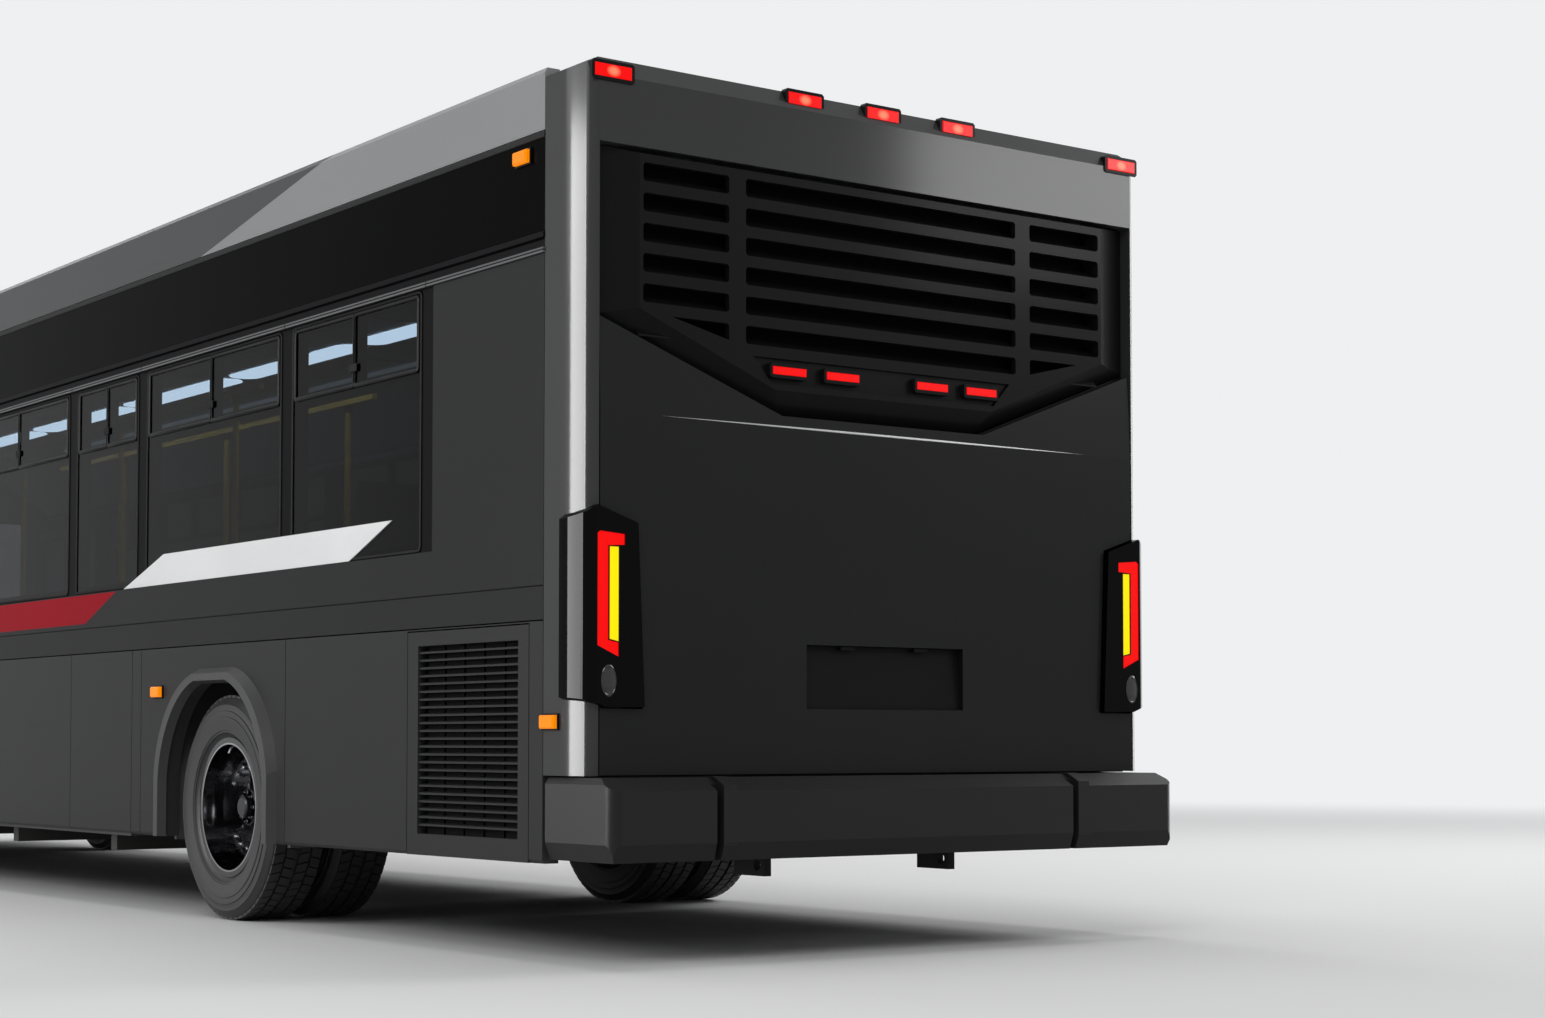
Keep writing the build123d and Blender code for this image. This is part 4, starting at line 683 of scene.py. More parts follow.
def sealTree():
    # a strip of rectangular section round a rectangle with round corners, in the YZ plane
    tree, given, out = startTree("sealRoundPane", [
        ("Material", "Material", None), ("Length", "Float", 1.0), ("Height", "Float", 0.8), ("Corner", "Float", 0.02),
        ("Width", "Float", 0.012), ("Depth", "Float", 0.006), ("Centre", "Vector", (0, 0, 0))])
    path, section = [addNode(tree, "GeometryNodeCurvePrimitiveQuadrilateral", {"Width": given[a], "Height": given[b]})
                     for a, b in (("Length", "Height"), ("Width", "Depth"))]
    rounded = addNode(tree, "GeometryNodeFilletCurve", {"Count": 3, "Curve": path.outputs[0],
                                                        "Radius": given["Corner"]}, mode="POLY")
    swept = addNode(tree, "GeometryNodeCurveToMesh", {"Curve": rounded.outputs[0],
                                                      "Profile Curve": section.outputs[0]})
    stand = addNode(tree, "GeometryNodeTransform", {"Geometry": swept.outputs[0], "Translation": given["Centre"],
                                                    "Rotation": (math.pi / 2, 0, math.pi / 2)})
    giveMaterial(tree, stand.outputs[0], given, out)
    return tree


ringOfParts = wheelRingTree()
sealRoundPane = sealTree()


def grown(tree, **values):
    # the plain mesh that a tree makes with these inputs
    holder = addObject("seed", bpy.data.meshes.new("seed"))
    mod = holder.modifiers.new("grow", "NODES")
    mod.node_group = tree
    for item in tree.interface.items_tree:
        if item.item_type == "SOCKET" and item.in_out == "INPUT" and item.name in values:
            mod[item.identifier] = values[item.name]
    bpy.context.view_layer.update()
    graph = bpy.context.evaluated_depsgraph_get()
    mesh = bpy.data.meshes.new_from_object(holder.evaluated_get(graph), depsgraph=graph)
    bpy.data.objects.remove(holder)
    return mesh


def gathered(name, meshes, body, material, smooth=False):
    # several grown meshes of one finish as one piece on one body
    bm = bmesh.new()
    for mesh in meshes:
        bm.from_mesh(mesh)
        bpy.data.meshes.remove(mesh)
    for face in bm.faces:
        face.material_index = 0
    return finishPiece(name, bm, body, material, smooth=smooth)


def loosePart(name, bm):
    # a part that a tree repeats
    bmesh.ops.recalc_face_normals(bm, faces=bm.faces)
    return addObject(name, meshOf(name, bm))


def ringMesh(part, material, centre, **ring):
    # the loose part repeated about an axle; the part itself is taken away
    mesh = grown(ringOfParts, Part=part, Material=material, Centre=tuple(centre), **ring)
    bpy.data.objects.remove(part)
    return mesh


# Livery film on the windows

# corners are (forward of the rear face, height), from the rear upper one round
whiteStripe = {"corners": ((1.37, 1.593), (1.72, 1.458), (3.97, 1.458), (3.515, 1.593)), "off": 0.0006,
               "thick": 0.0044}


def stripeFilm(name, side, s):
    x = side * (glassFace + s["off"])
    bm = bmesh.new()
    addPrism(bm, [(x, forwardOf(b), z) for b, z in s["corners"]], (side * s["thick"], 0, 0))
    finishPiece(name, bm, "vehicle", whiteFilm)


stripeFilm("whiteStripeStreet", 1, whiteStripe)
stripeFilm("whiteStripeCurb", -1, whiteStripe)
print("livery laid on")


# Windows: seals, sliding sashes and latches

modules = {
    "street": (1.050, 2.236, 3.722, 4.567, 6.053, 7.539, 9.025, 10.401, 11.850),
    "curbRear": (1.050, 2.236, 3.722),
    "curbFront": (5.390, 6.876, 8.362, 9.560, 10.560),
}
windowTrim = {"post": 0.092, "sill": 1.456, "head": 2.440, "sealWidth": 0.014, "sealDepth": 0.004, "corner": 0.02,
              "inset": 0.008}
# off is how far the sash stands off the glass; side, middle and top are the gaps round it
sash = {"foot": 2.140, "bar": 0.018, "depth": 0.005, "corner": 0.012, "off": 0.0004, "side": 0.028, "middle": 0.004,
        "top": 0.022}
sashLatch = {"half": 0.03, "low": 0.055, "high": 0.085, "proud": 0.004}


def windowSpans(edges, t):
    return [(a + t["post"], b) for a, b in zip(edges[:-1], edges[1:])]


def windowPieces(word, side, spans, t, s, latch):
    seals, sashes, latches = [], [], bmesh.new()
    sashHead = t["head"] - s["top"]
    for a, b in spans:
        y = forwardOf((a + b) / 2)
        seals.append(grown(sealRoundPane, Material=rubberSeal, Length=b - a - 2 * t["inset"],
                           Height=t["head"] - t["sill"] - 2 * t["inset"], Corner=t["corner"], Width=t["sealWidth"],
                           Depth=t["sealDepth"],
                           Centre=(side * (glassFace + t["sealDepth"] / 2), y, (t["sill"] + t["head"]) / 2)))
        half = (b - a) / 2 - s["side"]
        for k in (-1, 1):
            spot = (side * (glassFace + s["depth"] / 2 + s["off"]), y + k * half / 2, (s["foot"] + sashHead) / 2)
            sashes.append(grown(sealRoundPane, Material=sashMetal, Length=half - s["middle"],
                                Height=sashHead - s["foot"], Corner=s["corner"], Width=s["bar"], Depth=s["depth"],
                                Centre=spot))
        x = side * (glassFace + s["depth"])
        low, high = sorted((x, x + side * latch["proud"]))
        addBlock(latches, (low, y - latch["half"], s["foot"] + latch["low"]),
                 (high, y + latch["half"], s["foot"] + latch["high"]))
    gathered("windowSeals" + word, seals, "vehicle", rubberSeal)
    gathered("slidingSashes" + word, sashes, "vehicle", sashMetal)
    finishPiece("sashLatches" + word, latches, "vehicle", rubberSeal, bevel=0.002)


streetSpans = windowSpans(modules["street"], windowTrim)
curbSpans = windowSpans(modules["curbRear"], windowTrim) + windowSpans(modules["curbFront"], windowTrim)
windowPieces("Street", 1, streetSpans, windowTrim, sash, sashLatch)
windowPieces("Curb", -1, curbSpans, windowTrim, sash, sashLatch)
print("windows trimmed")


# Tyres

tyreForm = {"width": 0.276, "beadHalf": 0.104, "beadRadius": 0.2885, "grooveDepth": 0.011, "steps": 96, "lugs": 64,
            "lugGap": 0.007, "lean": 0.006, "ribs": (-0.084, -0.030, 0.030, 0.084), "ribWidth": 0.044}


def tyreWall(t, radius, sign):
    # half a section from the bead to the shoulder, with the moulded rings that a bus tyre's wall carries;
    # the first points are measured out from the bead, the others down from the tread
    w, bead, foot = t["width"] / 2, t["beadRadius"], t["beadHalf"]
    points = [(foot, bead), (foot + 0.006, bead + 0.012)]
    points += [(w - inward, bead + up) for inward, up in (
        (0.020, 0.022), (0.013, 0.030), (0.010, 0.031), (0.010, 0.037), (0.006, 0.040))]
    points += [(w - inward, radius - down) for inward, down in (
        (0.001, 0.108), (0.0, 0.100), (0.0, 0.094), (0.003, 0.092), (0.002, 0.074), (0.002, 0.068), (0.006, 0.066),
        (0.010, 0.044), (0.009, 0.040), (0.014, 0.036), (0.024, 0.016), (0.030, t["grooveDepth"]))]
    return [(sign * x, r) for x, r in points]


def carcass(t, radius, centre):
    bm = bmesh.new()
    section = tyreWall(t, radius, -1) + tyreWall(t, radius, 1)[::-1]
    addTurned(bm, section + section[:1], centre, (1, 0, 0), t["steps"])
    bmesh.ops.remove_doubles(bm, verts=bm.verts, dist=1e-5)
    return meshOf("carcass", bm)


def treadLug(t, radius, lean):
    # one tread block, its top on the rolling radius, its foot in the groove
    arc = 2 * math.pi * radius / t["lugs"] - t["lugGap"]
    sag = arc * arc / 8 / radius
    top = radius - 0.0004
    bm = bmesh.new()
    ring = [(side * t["ribWidth"] / 2, k * arc / 2 + side * lean, top - (sag if k else 0))
            for side in (-1, 1) for k in (side, 0, -side)]
    addPrism(bm, ring, (0, 0, -t["grooveDepth"] - 0.002))
    return loosePart("treadLug", bm)


def tyre(name, t, centre, body, node):
    meshes = [carcass(t, tyreRadius, centre)]
    for i, along in enumerate(t["ribs"]):
        lug = treadLug(t, tyreRadius, t["lean"] if i % 2 else -t["lean"])
        meshes.append(ringMesh(lug, tyreRubber, centre, Count=t["lugs"], Radius=0.0, Along=along,
                               Phase=(i % 2) * math.pi / t["lugs"]))
    piece = gathered(name, meshes, body, tyreRubber, smooth=True)
    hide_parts(node)


# how far each wheel's middle stands from the bus's
track = {"outer": 1.122, "inner": 0.811, "single": 1.115}


def wheelCentre(which, side):
    return Vector((side * track[which], frontAxleY if which == "single" else rearAxleY, tyreRadius))


for word, side in (("street", 1), ("curb", -1)):
    tyre(f"frontTyre.{word}", tyreForm, wheelCentre("single", side), f"front_wheel_{word}", f"front_tyre_{word}")
    for which in ("outer", "inner"):
        tyre(f"rear{which.title()}Tyre.{word}", tyreForm, wheelCentre(which, side), f"rear_wheels_{word}",
             f"rear_tyres_{word}")
print("tyres moulded")


# Wheel nuts, hand holes, hub ends and valves

hubTrim = {"nuts": 10, "nutCircle": 0.1675, "nutRadius": 0.0165, "nutHeight": 0.026, "bolts": 8, "boltCircle": 0.062,
           "boltRadius": 0.0075, "boltHeight": 0.008, "holes": 10, "holeLength": 0.036}
# places along the axle, outwards from the wheel's middle, and the circle of the hand holes
frontDisc = {"face": 0.062, "hub": 0.122, "holes": 0.030, "holeCircle": 0.208}
rearDisc = {"face": -0.138, "hub": 0.026, "holes": -0.131, "holeCircle": 0.205}


def wheelNut(radius, height, side):
    # a domed nut on its washer, turned about X and mirrored for the curb side
    bm = bmesh.new()
    washer = radius * 1.35
    addTurned(bm, [(-0.002, 0), (-0.002, washer), (0.004, washer), (0.005, radius), (height, radius * 0.92),
                   (height + 0.006, radius * 0.5), (height + 0.006, 0)], (0, 0, 0), (1, 0, 0), 12)
    nut = loosePart("wheelNut", bm)
    if side < 0:
        nut.data.transform(Matrix.Scale(-1, 4, (1, 0, 0)))
        nut.data.flip_normals()
    return nut


def handHole(length, side, steps=18):
    # an oval pressed through the disc, with a rolled lip round it; the piece is closed and black, as painted shade for
    # the opening
    bm = bmesh.new()
    rings = []
    for along, grow in ((-0.003, 1.0), (0.0035, 1.0), (0.005, 0.9), (0.0015, 0.8), (0.0015, 0.0)):
        turns = [2 * math.pi * i / steps for i in range(steps if grow else 1)]
        wide, tall = length * 0.72 * grow, length * 0.5 * grow
        rings.append([bm.verts.new((side * along, math.sin(t) * wide, math.cos(t) * tall)) for t in turns])
    joinRings(bm, rings)
    return loosePart("handHole", bm)


def hubPieces(word, side, centre, body, h, d):
    nut, bolt = wheelNut(h["nutRadius"], h["nutHeight"], side), wheelNut(h["boltRadius"], h["boltHeight"], side)
    hole = handHole(h["holeLength"], side)
    for name, part, material, count, circle, face, phase in (
            ("wheelNuts", nut, chromeNut, h["nuts"], h["nutCircle"], "face", 0.2),
            ("hubBolts", bolt, hubMetal, h["bolts"], h["boltCircle"], "hub", 0.0),
            ("handHoles", hole, shadeBlack, h["holes"], d["holeCircle"], "holes", math.pi / h["holes"])):
        mesh = ringMesh(part, material, centre, Count=count, Radius=circle, Along=side * d[face], Phase=phase)
        gathered(f"{name}.{word}", [mesh], body, material, smooth=True)
    bm = bmesh.new()
    addTurned(bm, [(d["hub"] + along, radius) for along, radius in (
        (-0.05, 0), (-0.05, 0.082), (-0.006, 0.080), (0, 0.074), (0, 0.050), (0.022, 0.047), (0.028, 0.040),
        (0.029, 0))], centre, (side, 0, 0), 40)
    finishPiece(f"hubEnd.{word}", bm, body, hubMetal, smooth=True)
    bm = bmesh.new()
    valveFoot = centre + Vector((side * 0.085, 0, 0.262))
    addTube(bm, [valveFoot + Vector((side * along, 0, up)) for along, up in ((0, 0), (0.018, -0.010), (0.030, -0.032))],
            0.005, 8)
    finishPiece(f"valve.{word}", bm, body, chromeNut, smooth=True)


for word, side in (("street", 1), ("curb", -1)):
    hubPieces(f"front.{word}", side, wheelCentre("single", side), f"front_wheel_{word}", hubTrim, frontDisc)
    hubPieces(f"rear.{word}", side, wheelCentre("outer", side), f"rear_wheels_{word}", hubTrim, rearDisc)
print("wheels fitted")


# Rear end: black sheet behind the louvre as painted shade, door crease with a painted highlight, oval reflectors, plate
# hoods and the engine door's seal

louvreScreen = {"depth": 0.060, "head": 2.765, "shoulder": 2.25, "foot": 2.03, "half": 1.03, "footHalf": 0.50,
                "thick": 0.004}


def louvreBacking(s):
    # a black sheet behind the louvre's slots that stands in for the shade in the engine bay
    bm = bmesh.new()
    right = [(s["half"], s["head"]), (s["half"], s["shoulder"]), (s["footHalf"], s["foot"])]
    outline = [(-s["half"], s["head"])] + right + [(-x, z) for x, z in right[:0:-1]]
    addPrism(bm, [(x, rearFace - s["depth"], z) for x, z in outline], (0, -s["thick"], 0))
    finishPiece("louvreScreen", bm, "vehicle", shadeBlack)


louvreBacking(louvreScreen)

creaseLine = {"half": 0.985, "z": 1.871, "height": 0.016, "proud": 0.0016, "sunk": 0.004, "sections": 40}


def doorCrease(c):
    # a thin ridge on the crease, painted light grey as a painted highlight, that tapers out towards both ends
    bm = bmesh.new()
    rings = []
    for i in range(c["sections"] + 1):
        t = 2 * i / c["sections"] - 1
        full = max(0.02, 1 - abs(t) ** 2.2)
        h, p = c["height"] * full / 2, c["proud"] * full
        rings.append([bm.verts.new((t * c["half"], rearFace + y, c["z"] + z)) for y, z in (
            (-c["sunk"], -h), (p, -h * 0.2), (p * 0.6, h * 0.5), (-c["sunk"], h))])
    joinRings(bm, rings)
    bm.faces.new(rings[0])
    bm.faces.new(rings[-1][::-1])
    finishPiece("doorCrease", bm, "engine_door", creaseHighlightPaint, smooth=True)


doorCrease(creaseLine)

ovalReflector = {"x": 1.214, "z": 0.962, "width": 0.062, "height": 0.108, "steps": 28}


def ovalReflectors(r):
    # profile points are (share of the oval, out from the lamp's face)
    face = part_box("tail_lamps")[1][1]
    profile = ((1.0, -0.010), (1.0, 0.002), (0.93, 0.004), (0.86, 0.002), (0.60, 0.0036), (0.30, 0.0044), (0.0, 0.0046))
    bm = bmesh.new()
    for side in (-1, 1):
        rings = []
        for grow, out in profile:
            turns = [2 * math.pi * i / r["steps"] for i in range(r["steps"] if grow else 1)]
            rings.append([bm.verts.new((side * r["x"] + math.sin(t) * r["width"] / 2 * grow, face + out,
                                        r["z"] + math.cos(t) * r["height"] / 2 * grow)) for t in turns])
        joinRings(bm, rings)
        bm.faces.new(rings[0][::-1])
    finishPiece("ovalReflectors", bm, "vehicle", reflectorBlack, smooth=True)


ovalReflectors(ovalReflector)

plateHood = {"x": (-0.17, 0.17), "half": 0.032, "z": (1.086, 1.0985), "back": (0.031, 0.010)}


def plateHoods(p):
    bm = bmesh.new()
    for x in p["x"]:
        addBlock(bm, (x - p["half"], rearFace - p["back"][0], p["z"][0]),
                 (x + p["half"], rearFace - p["back"][1], p["z"][1]))
    finishPiece("plateHoods", bm, "engine_door", louvreBlack, bevel=0.003)


plateHoods(plateHood)


# (X, height) round the engine door's opening
doorSeal = {"ring": ((-1.231, 0.648), (1.231, 0.648), (1.231, 2.193), (0.478, 1.908), (-0.478, 1.908),
                     (-1.231, 2.193)), "width": 0.016, "depth": 0.046, "thick": 0.004}


def rearDoorSeal(s):
    # strips of rubber end to end round the opening
    bm = bmesh.new()
    ring = [Vector((x, rearFace - s["depth"], z)) for x, z in s["ring"]]
    for a, b in zip(ring, ring[1:] + ring[:1]):
        out = (b - a).normalized().cross(Vector((0, 1, 0))) * s["width"] / 2
        addPrism(bm, [a - out, a + out, b + out, b - out], (0, -s["thick"], 0))
    finishPiece("rearDoorSeal", bm, "vehicle", rubberSeal)


rearDoorSeal(doorSeal)
print("rear end fitted")


# Radiator grille backing: a black sheet behind the slats as painted shade, with ribs

grilleScreen = {"depth": 0.038, "thick": 0.003, "back": (0.425, 1.155), "z": (0.415, 1.115), "ribs": 4, "first": 0.575,
                "pitch": 0.143, "ribHalf": 0.004, "ribProud": 0.006, "ribShort": 0.005}


def grilleBacking(g):
    # the black sheet stands in for the shade behind the slats
    bm = bmesh.new()
    x, (aft, fore), (low, high) = halfWidth - g["depth"], g["back"], g["z"]
    face = x + g["thick"]
    addBlock(bm, (x, forwardOf(fore), low), (face, forwardOf(aft), high))
    for i in range(g["ribs"]):
        y = forwardOf(g["first"] + i * g["pitch"])
        addBlock(bm, (face, y - g["ribHalf"], low + g["ribShort"]),
                 (face + g["ribProud"], y + g["ribHalf"], high - g["ribShort"]))
    finishPiece("grilleScreen", bm, "radiator_door", shadeBlack)


grilleBacking(grilleScreen)


# Rails over the windows: dark joints between the modules

railJoint = {"width": 0.005, "z": (2.4395, 2.4615), "sunk": 0.006, "proud": 0.0006}


def railJoints(word, side, edges, r):
    bm = bmesh.new()
    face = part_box("side_wall_street")[1][0]
    low, high = sorted((side * (face - r["sunk"]), side * (face + r["proud"])))
    for b in edges:
        y = forwardOf(b + windowTrim["post"] / 2)
        addBlock(bm, (low, y - r["width"] / 2, r["z"][0]), (high, y + r["width"] / 2, r["z"][1]))
    finishPiece("railJoints" + word, bm, "vehicle", rubberSeal)


railJoints("Street", 1, modules["street"], railJoint)
railJoints("Curb", -1, modules["curbRear"] + modules["curbFront"], railJoint)


# Ceiling, light runs and what stands in the saloon

saloon = {"rear": 1.20, "front": 11.60, "ceiling": 2.7570, "flat": 0.78, "coveX": 1.205, "coveZ": 2.475, "skin": 0.006,
          "bays": 9, "jointHalf": 0.012, "jointProud": 0.003, "jointSunk": 0.001}


def ceilingPanels(s):
    y0, y1 = forwardOf(s["front"]), forwardOf(s["rear"])
    cove, flat, top = s["coveX"], s["flat"], s["ceiling"]
    lower = [(-cove, s["coveZ"]), (-flat, top), (flat, top), (cove, s["coveZ"])]
    ring = [(x, y0, z) for x, z in lower] + [(x, y0, z + s["skin"]) for x, z in lower[::-1]]
    bm = bmesh.new()
    addPrism(bm, ring, (0, y1 - y0, 0))
    finishPiece("ceilingPanels", bm, "vehicle", ceilingSkin)
    joints = bmesh.new()
    for i in range(1, s["bays"]):
        y = y0 + (y1 - y0) * i / s["bays"]
        addBlock(joints, (-flat, y - s["jointHalf"], top - s["jointProud"]),
                 (flat, y + s["jointHalf"], top + s["jointSunk"]))
    finishPiece("ceilingJoints", joints, "vehicle", sashMetal)


ceilingPanels(saloon)

lightRun = {"x": -0.065, "half": 0.085, "z": 2.749, "depth": 0.007, "length": 1.42, "gap": 0.066, "start": 1.32,
            "count": 6}


def lightRuns(r):
    # long lamps with round ends in the middle of the ceiling
    bm = bmesh.new()
    for i in range(r["count"]):
        back = r["start"] + i * (r["length"] + r["gap"])
        ring = []
        for y, first in ((forwardOf(back) - r["half"], -90), (forwardOf(back + r["length"]) + r["half"], 90)):
            for k in range(9):
                turn = math.radians(first + k * 22.5)
                ring.append((r["x"] + r["half"] * math.sin(turn), y + r["half"] * math.cos(turn), r["z"]))
        addPrism(bm, ring, (0, 0, r["depth"]))
    finishPiece("lightRuns", bm, "vehicle", lightPanel)


lightRuns(lightRun)

# Seats: crowned pads with a sewn channel, on shells of the CAD's outline

# X of a pair's middle, its floor, and how far forward of the rear face each row's seats stand
seatRows = (
    (0.77, 0.380, (4.700, 5.460, 6.220, 6.980, 7.740, 8.500)),
    (-0.77, 0.380, (5.560, 6.320, 7.080, 7.840, 8.600)),
    (0.77, 0.800, (2.080,)),
    (-0.77, 0.800, (2.080,)),
)
backRow = {"pitch": 0.466, "back": 1.465, "floor": 0.800}
driverSeat = {"x": 0.62, "back": 10.950, "floor": 0.380}
seatPad = {"wide": 0.205, "deep": 0.170, "thick": 0.046, "offset": 0.215, "cushionY": -0.040, "cushionZ": 0.446,
           "backY": 0.174, "backZ": 0.730, "backHigh": 0.245, "backThick": 0.040, "lean": 10.2, "cuts": 7,
           "fill": 0.7}
# (Y, Z) from the seat's place: the shell behind the back and the tray under the cushion
seatForm = {"overlap": 0.006, "back": ((0.158, 0.404), (0.176, 0.404), (0.2615, 0.985), (0.246, 0.985)),
            "tray": ((-0.210, 0.404), (0.158, 0.402), (0.158, 0.416), (-0.212, 0.426))}


def seatSpots():
    spots = []
    for x, floor, backs in seatRows:
        spots += [(x + k * seatPad["offset"], forwardOf(b), floor) for b in backs for k in (-1, 1)]
    spots += [(k * backRow["pitch"], forwardOf(backRow["back"]), backRow["floor"]) for k in (-2, -1, 0, 1, 2)]
    return spots + [(driverSeat["x"], forwardOf(driverSeat["back"]), driverSeat["floor"])]


def addPad(bm, centre, half, lean, cuts):
    # a crowned closed form: round at its rim, its sides pulled in between its corners, a shallow sewn channel across
    start = len(bm.verts)
    made = bmesh.ops.create_cube(bm, size=2)["verts"]
    edges = list({e for v in made for e in v.link_edges})
    bmesh.ops.subdivide_edges(bm, edges=edges, cuts=cuts, use_grid_fill=True)
    bm.verts.ensure_lookup_table()
    turn = Matrix.Rotation(math.radians(lean), 3, "X")
    for v in bm.verts[start:]:
        a, b, c = v.co
        rim = max(abs(a), abs(b))
        crown = math.cos(a * math.pi / 2 * 0.92) * math.cos(b * math.pi / 2 * 0.92)
        pull = 1 - 0.035 * (1 - abs(c)) - 0.02 * math.cos(a * math.pi / 2) * (abs(b) > 0.99)
        thick = c * (0.48 + 0.52 * crown ** 0.45)
        round3 = 1 - 0.10 * abs(c) ** 4 * rim ** 6
        channel = 0.07 * math.exp(-((b - 0.30) / 0.07) ** 2) if c > 0.99 else 0.0
        spot = Vector((a * half[0] * pull * round3, b * half[1] * pull * round3, (thick - channel) * half[2]))
        v.co = turn @ spot + Vector(centre)


def seatPads(p, f):
    cushions, backs, shells = bmesh.new(), bmesh.new(), bmesh.new()
    for x, y, floor in seatSpots():
        addPad(cushions, (x, y + p["cushionY"], floor + p["cushionZ"]), (p["wide"], p["deep"], p["thick"]), 0,
               p["cuts"])
        addPad(backs, (x, y + p["backY"], floor + p["backZ"]), (p["wide"], p["backHigh"], p["backThick"]),
               90 - p["lean"], p["cuts"])
        w = p["wide"] + f["overlap"]
        for form in ("back", "tray"):
            addPrism(shells, [(x - w, y + dy, floor + dz) for dy, dz in f[form]], (2 * w, 0, 0))
    for name, bm, node in (("seatCushionPads", cushions, "seat_cushions"), ("seatBackPads", backs, "seat_backs")):
        pads = finishPiece(name, bm, "vehicle", seatCloth, smooth=True)
        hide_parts(node)
    finishPiece("seatShells", shells, "vehicle", seatShell, bevel=0.003)


seatPads(seatPad, seatForm)

partition = {"x": (0.30, 1.19), "y": (-4.598, -4.580), "foot": 0.386, "waist": 1.30, "glassTop": 2.05, "post": 0.03,
             "bar": 0.02, "inset": 0.004, "paneInset": 0.007}


def driverScreen(p):
    bm = bmesh.new()
    (x0, x1), (y0, y1), top = p["x"], p["y"], p["glassTop"] + p["bar"]
    addBlock(bm, (x0, y0, p["foot"]), (x1, y1, p["waist"]))
    addBlock(bm, (x0, y0 + p["inset"], p["waist"]), (x0 + p["post"], y1 - p["inset"], top))
    addBlock(bm, (x0 + p["post"], y0 + p["inset"], p["glassTop"]), (x1, y1 - p["inset"], top))
    finishPiece("driverScreen", bm, "vehicle", dashPlastic, bevel=0.003)
    pane = bmesh.new()
    addBlock(pane, (x0 + p["post"] + 0.002, y0 + p["paneInset"], p["waist"] + 0.005),
             (x1 - p["inset"], y1 - p["paneInset"], p["glassTop"] - 0.001))
    finishPiece("driverScreenPane", pane, "vehicle", screenGlass, bevel=0.001)


driverScreen(partition)

poleFittings = {"x": 0.318, "backs": (4.900, 6.420, 7.940), "ceiling": 2.549, "floor": 0.380,
                "socket": ((-0.055, 0), (-0.055, 0.0205), (-0.050, 0.024), (-0.018, 0.024), (-0.014, 0.0205),
                           (-0.014, 0)),
                "flange": ((0.0015, 0), (0.0015, 0.046), (0.006, 0.044), (0.016, 0.022), (0.030, 0.0205), (0.030, 0))}


def stanchionJoints(r):
    # cast sockets where each pole meets its ceiling rail, and flanges at the floor
    bm = bmesh.new()
    for side in (-1, 1):
        for b in r["backs"]:
            for form, z in (("socket", "ceiling"), ("flange", "floor")):
                addTurned(bm, r[form], (side * r["x"], forwardOf(b), r[z]), (0, 0, 1), 14)
    finishPiece("stanchionJoints", bm, "vehicle", sashMetal, smooth=True)


stanchionJoints(poleFittings)
print("saloon furnished")


# Nose: what stands on its curved face is placed by a ray onto the CAD nodes

def skinOf(*names):
    bm = bmesh.new()
    for name in names:
        bm.from_mesh(nodes[name].data)
    tree = BVHTree.FromBMesh(bm)
    bm.free()
    return tree


noseSkin = skinOf("front_cap", "windscreen", "headlamps")
roofSkin = skinOf("roof_shell", "roof_hatch_front", "roof_hatch_rear")


def noseAt(x, z):
    # the foremost of three hits, so that a joint between two panels isn't fallen into
    hits = [noseSkin.ray_cast(Vector((x, noseFace - 0.5, z + dz)), Vector((0, 1, 0)))[0] for dz in (-0.008, 0, 0.008)]
    return min(h.y for h in hits if h)


def roofAt(x, y):
    return roofSkin.ray_cast(Vector((x, y, 3.6)), Vector((0, 0, -1)))[0].z


headlampUnits = {"x": (0.876, 1.030), "z": 0.846, "radius": 0.062, "steps": 36}
dayLight = {"first": 0.822, "pitch": 0.062, "length": 0.052, "bars": 5, "z": (0.7795, 0.7880), "against": 0.903,
            "sunk": 0.010, "off": 0.006}


def headlampPieces(h):
    rings, bowls, lenses = bmesh.new(), bmesh.new(), bmesh.new()
    r = h["radius"]
    profiles = (
        (rings, ((-0.008, 0), (-0.008, r + 0.008), (0.004, r + 0.008), (0.008, r + 0.003), (0.004, r), (-0.004, r),
                 (-0.004, 0))),
        (bowls, ((-0.003, 0), (-0.003, r * 0.98), (0.003, r * 0.96), (0.0005, r * 0.6), (-0.0015, r * 0.3),
                 (0.002, r * 0.22), (0.004, 0))),
        (lenses, ((0.0045, 0), (0.0045, r * 0.96), (0.007, r * 0.90), (0.011, r * 0.5), (0.012, 0))),
    )
    for side in (-1, 1):
        for x in h["x"]:
            centre = (side * x, noseAt(side * x, h["z"]), h["z"])
            for bm, profile in profiles:
                addTurned(bm, profile, centre, (0, -1, 0), h["steps"])
    finishPiece("headlampRings", rings, "vehicle", chromeBowl, smooth=True)
    finishPiece("headlampBowls", bowls, "vehicle", chromeBowl, smooth=True)
    finishPiece("headlampLenses", lenses, "vehicle", screenGlass, smooth=True)


def dayLightBars(d):
    bm = bmesh.new()
    for side in (-1, 1):
        for k in range(d["bars"]):
            x = d["first"] + k * d["pitch"]
            low, high = sorted((side * x, side * (x + d["length"])))
            y = max(noseAt(low, d["against"]), noseAt(high, d["against"]))
            addBlock(bm, (low, y - d["sunk"], d["z"][0]), (high, y + d["off"], d["z"][1]))
    finishPiece("dayLightBars", bm, "vehicle", clearLens, bevel=0.001)


headlampPieces(headlampUnits)
dayLightBars(dayLight)

wiper = {"pivot": (0.72, 1.150), "elbow": (0.60, 1.235), "blade": (0.12, 1.02), "bladeZ": 1.252, "off": 0.026}


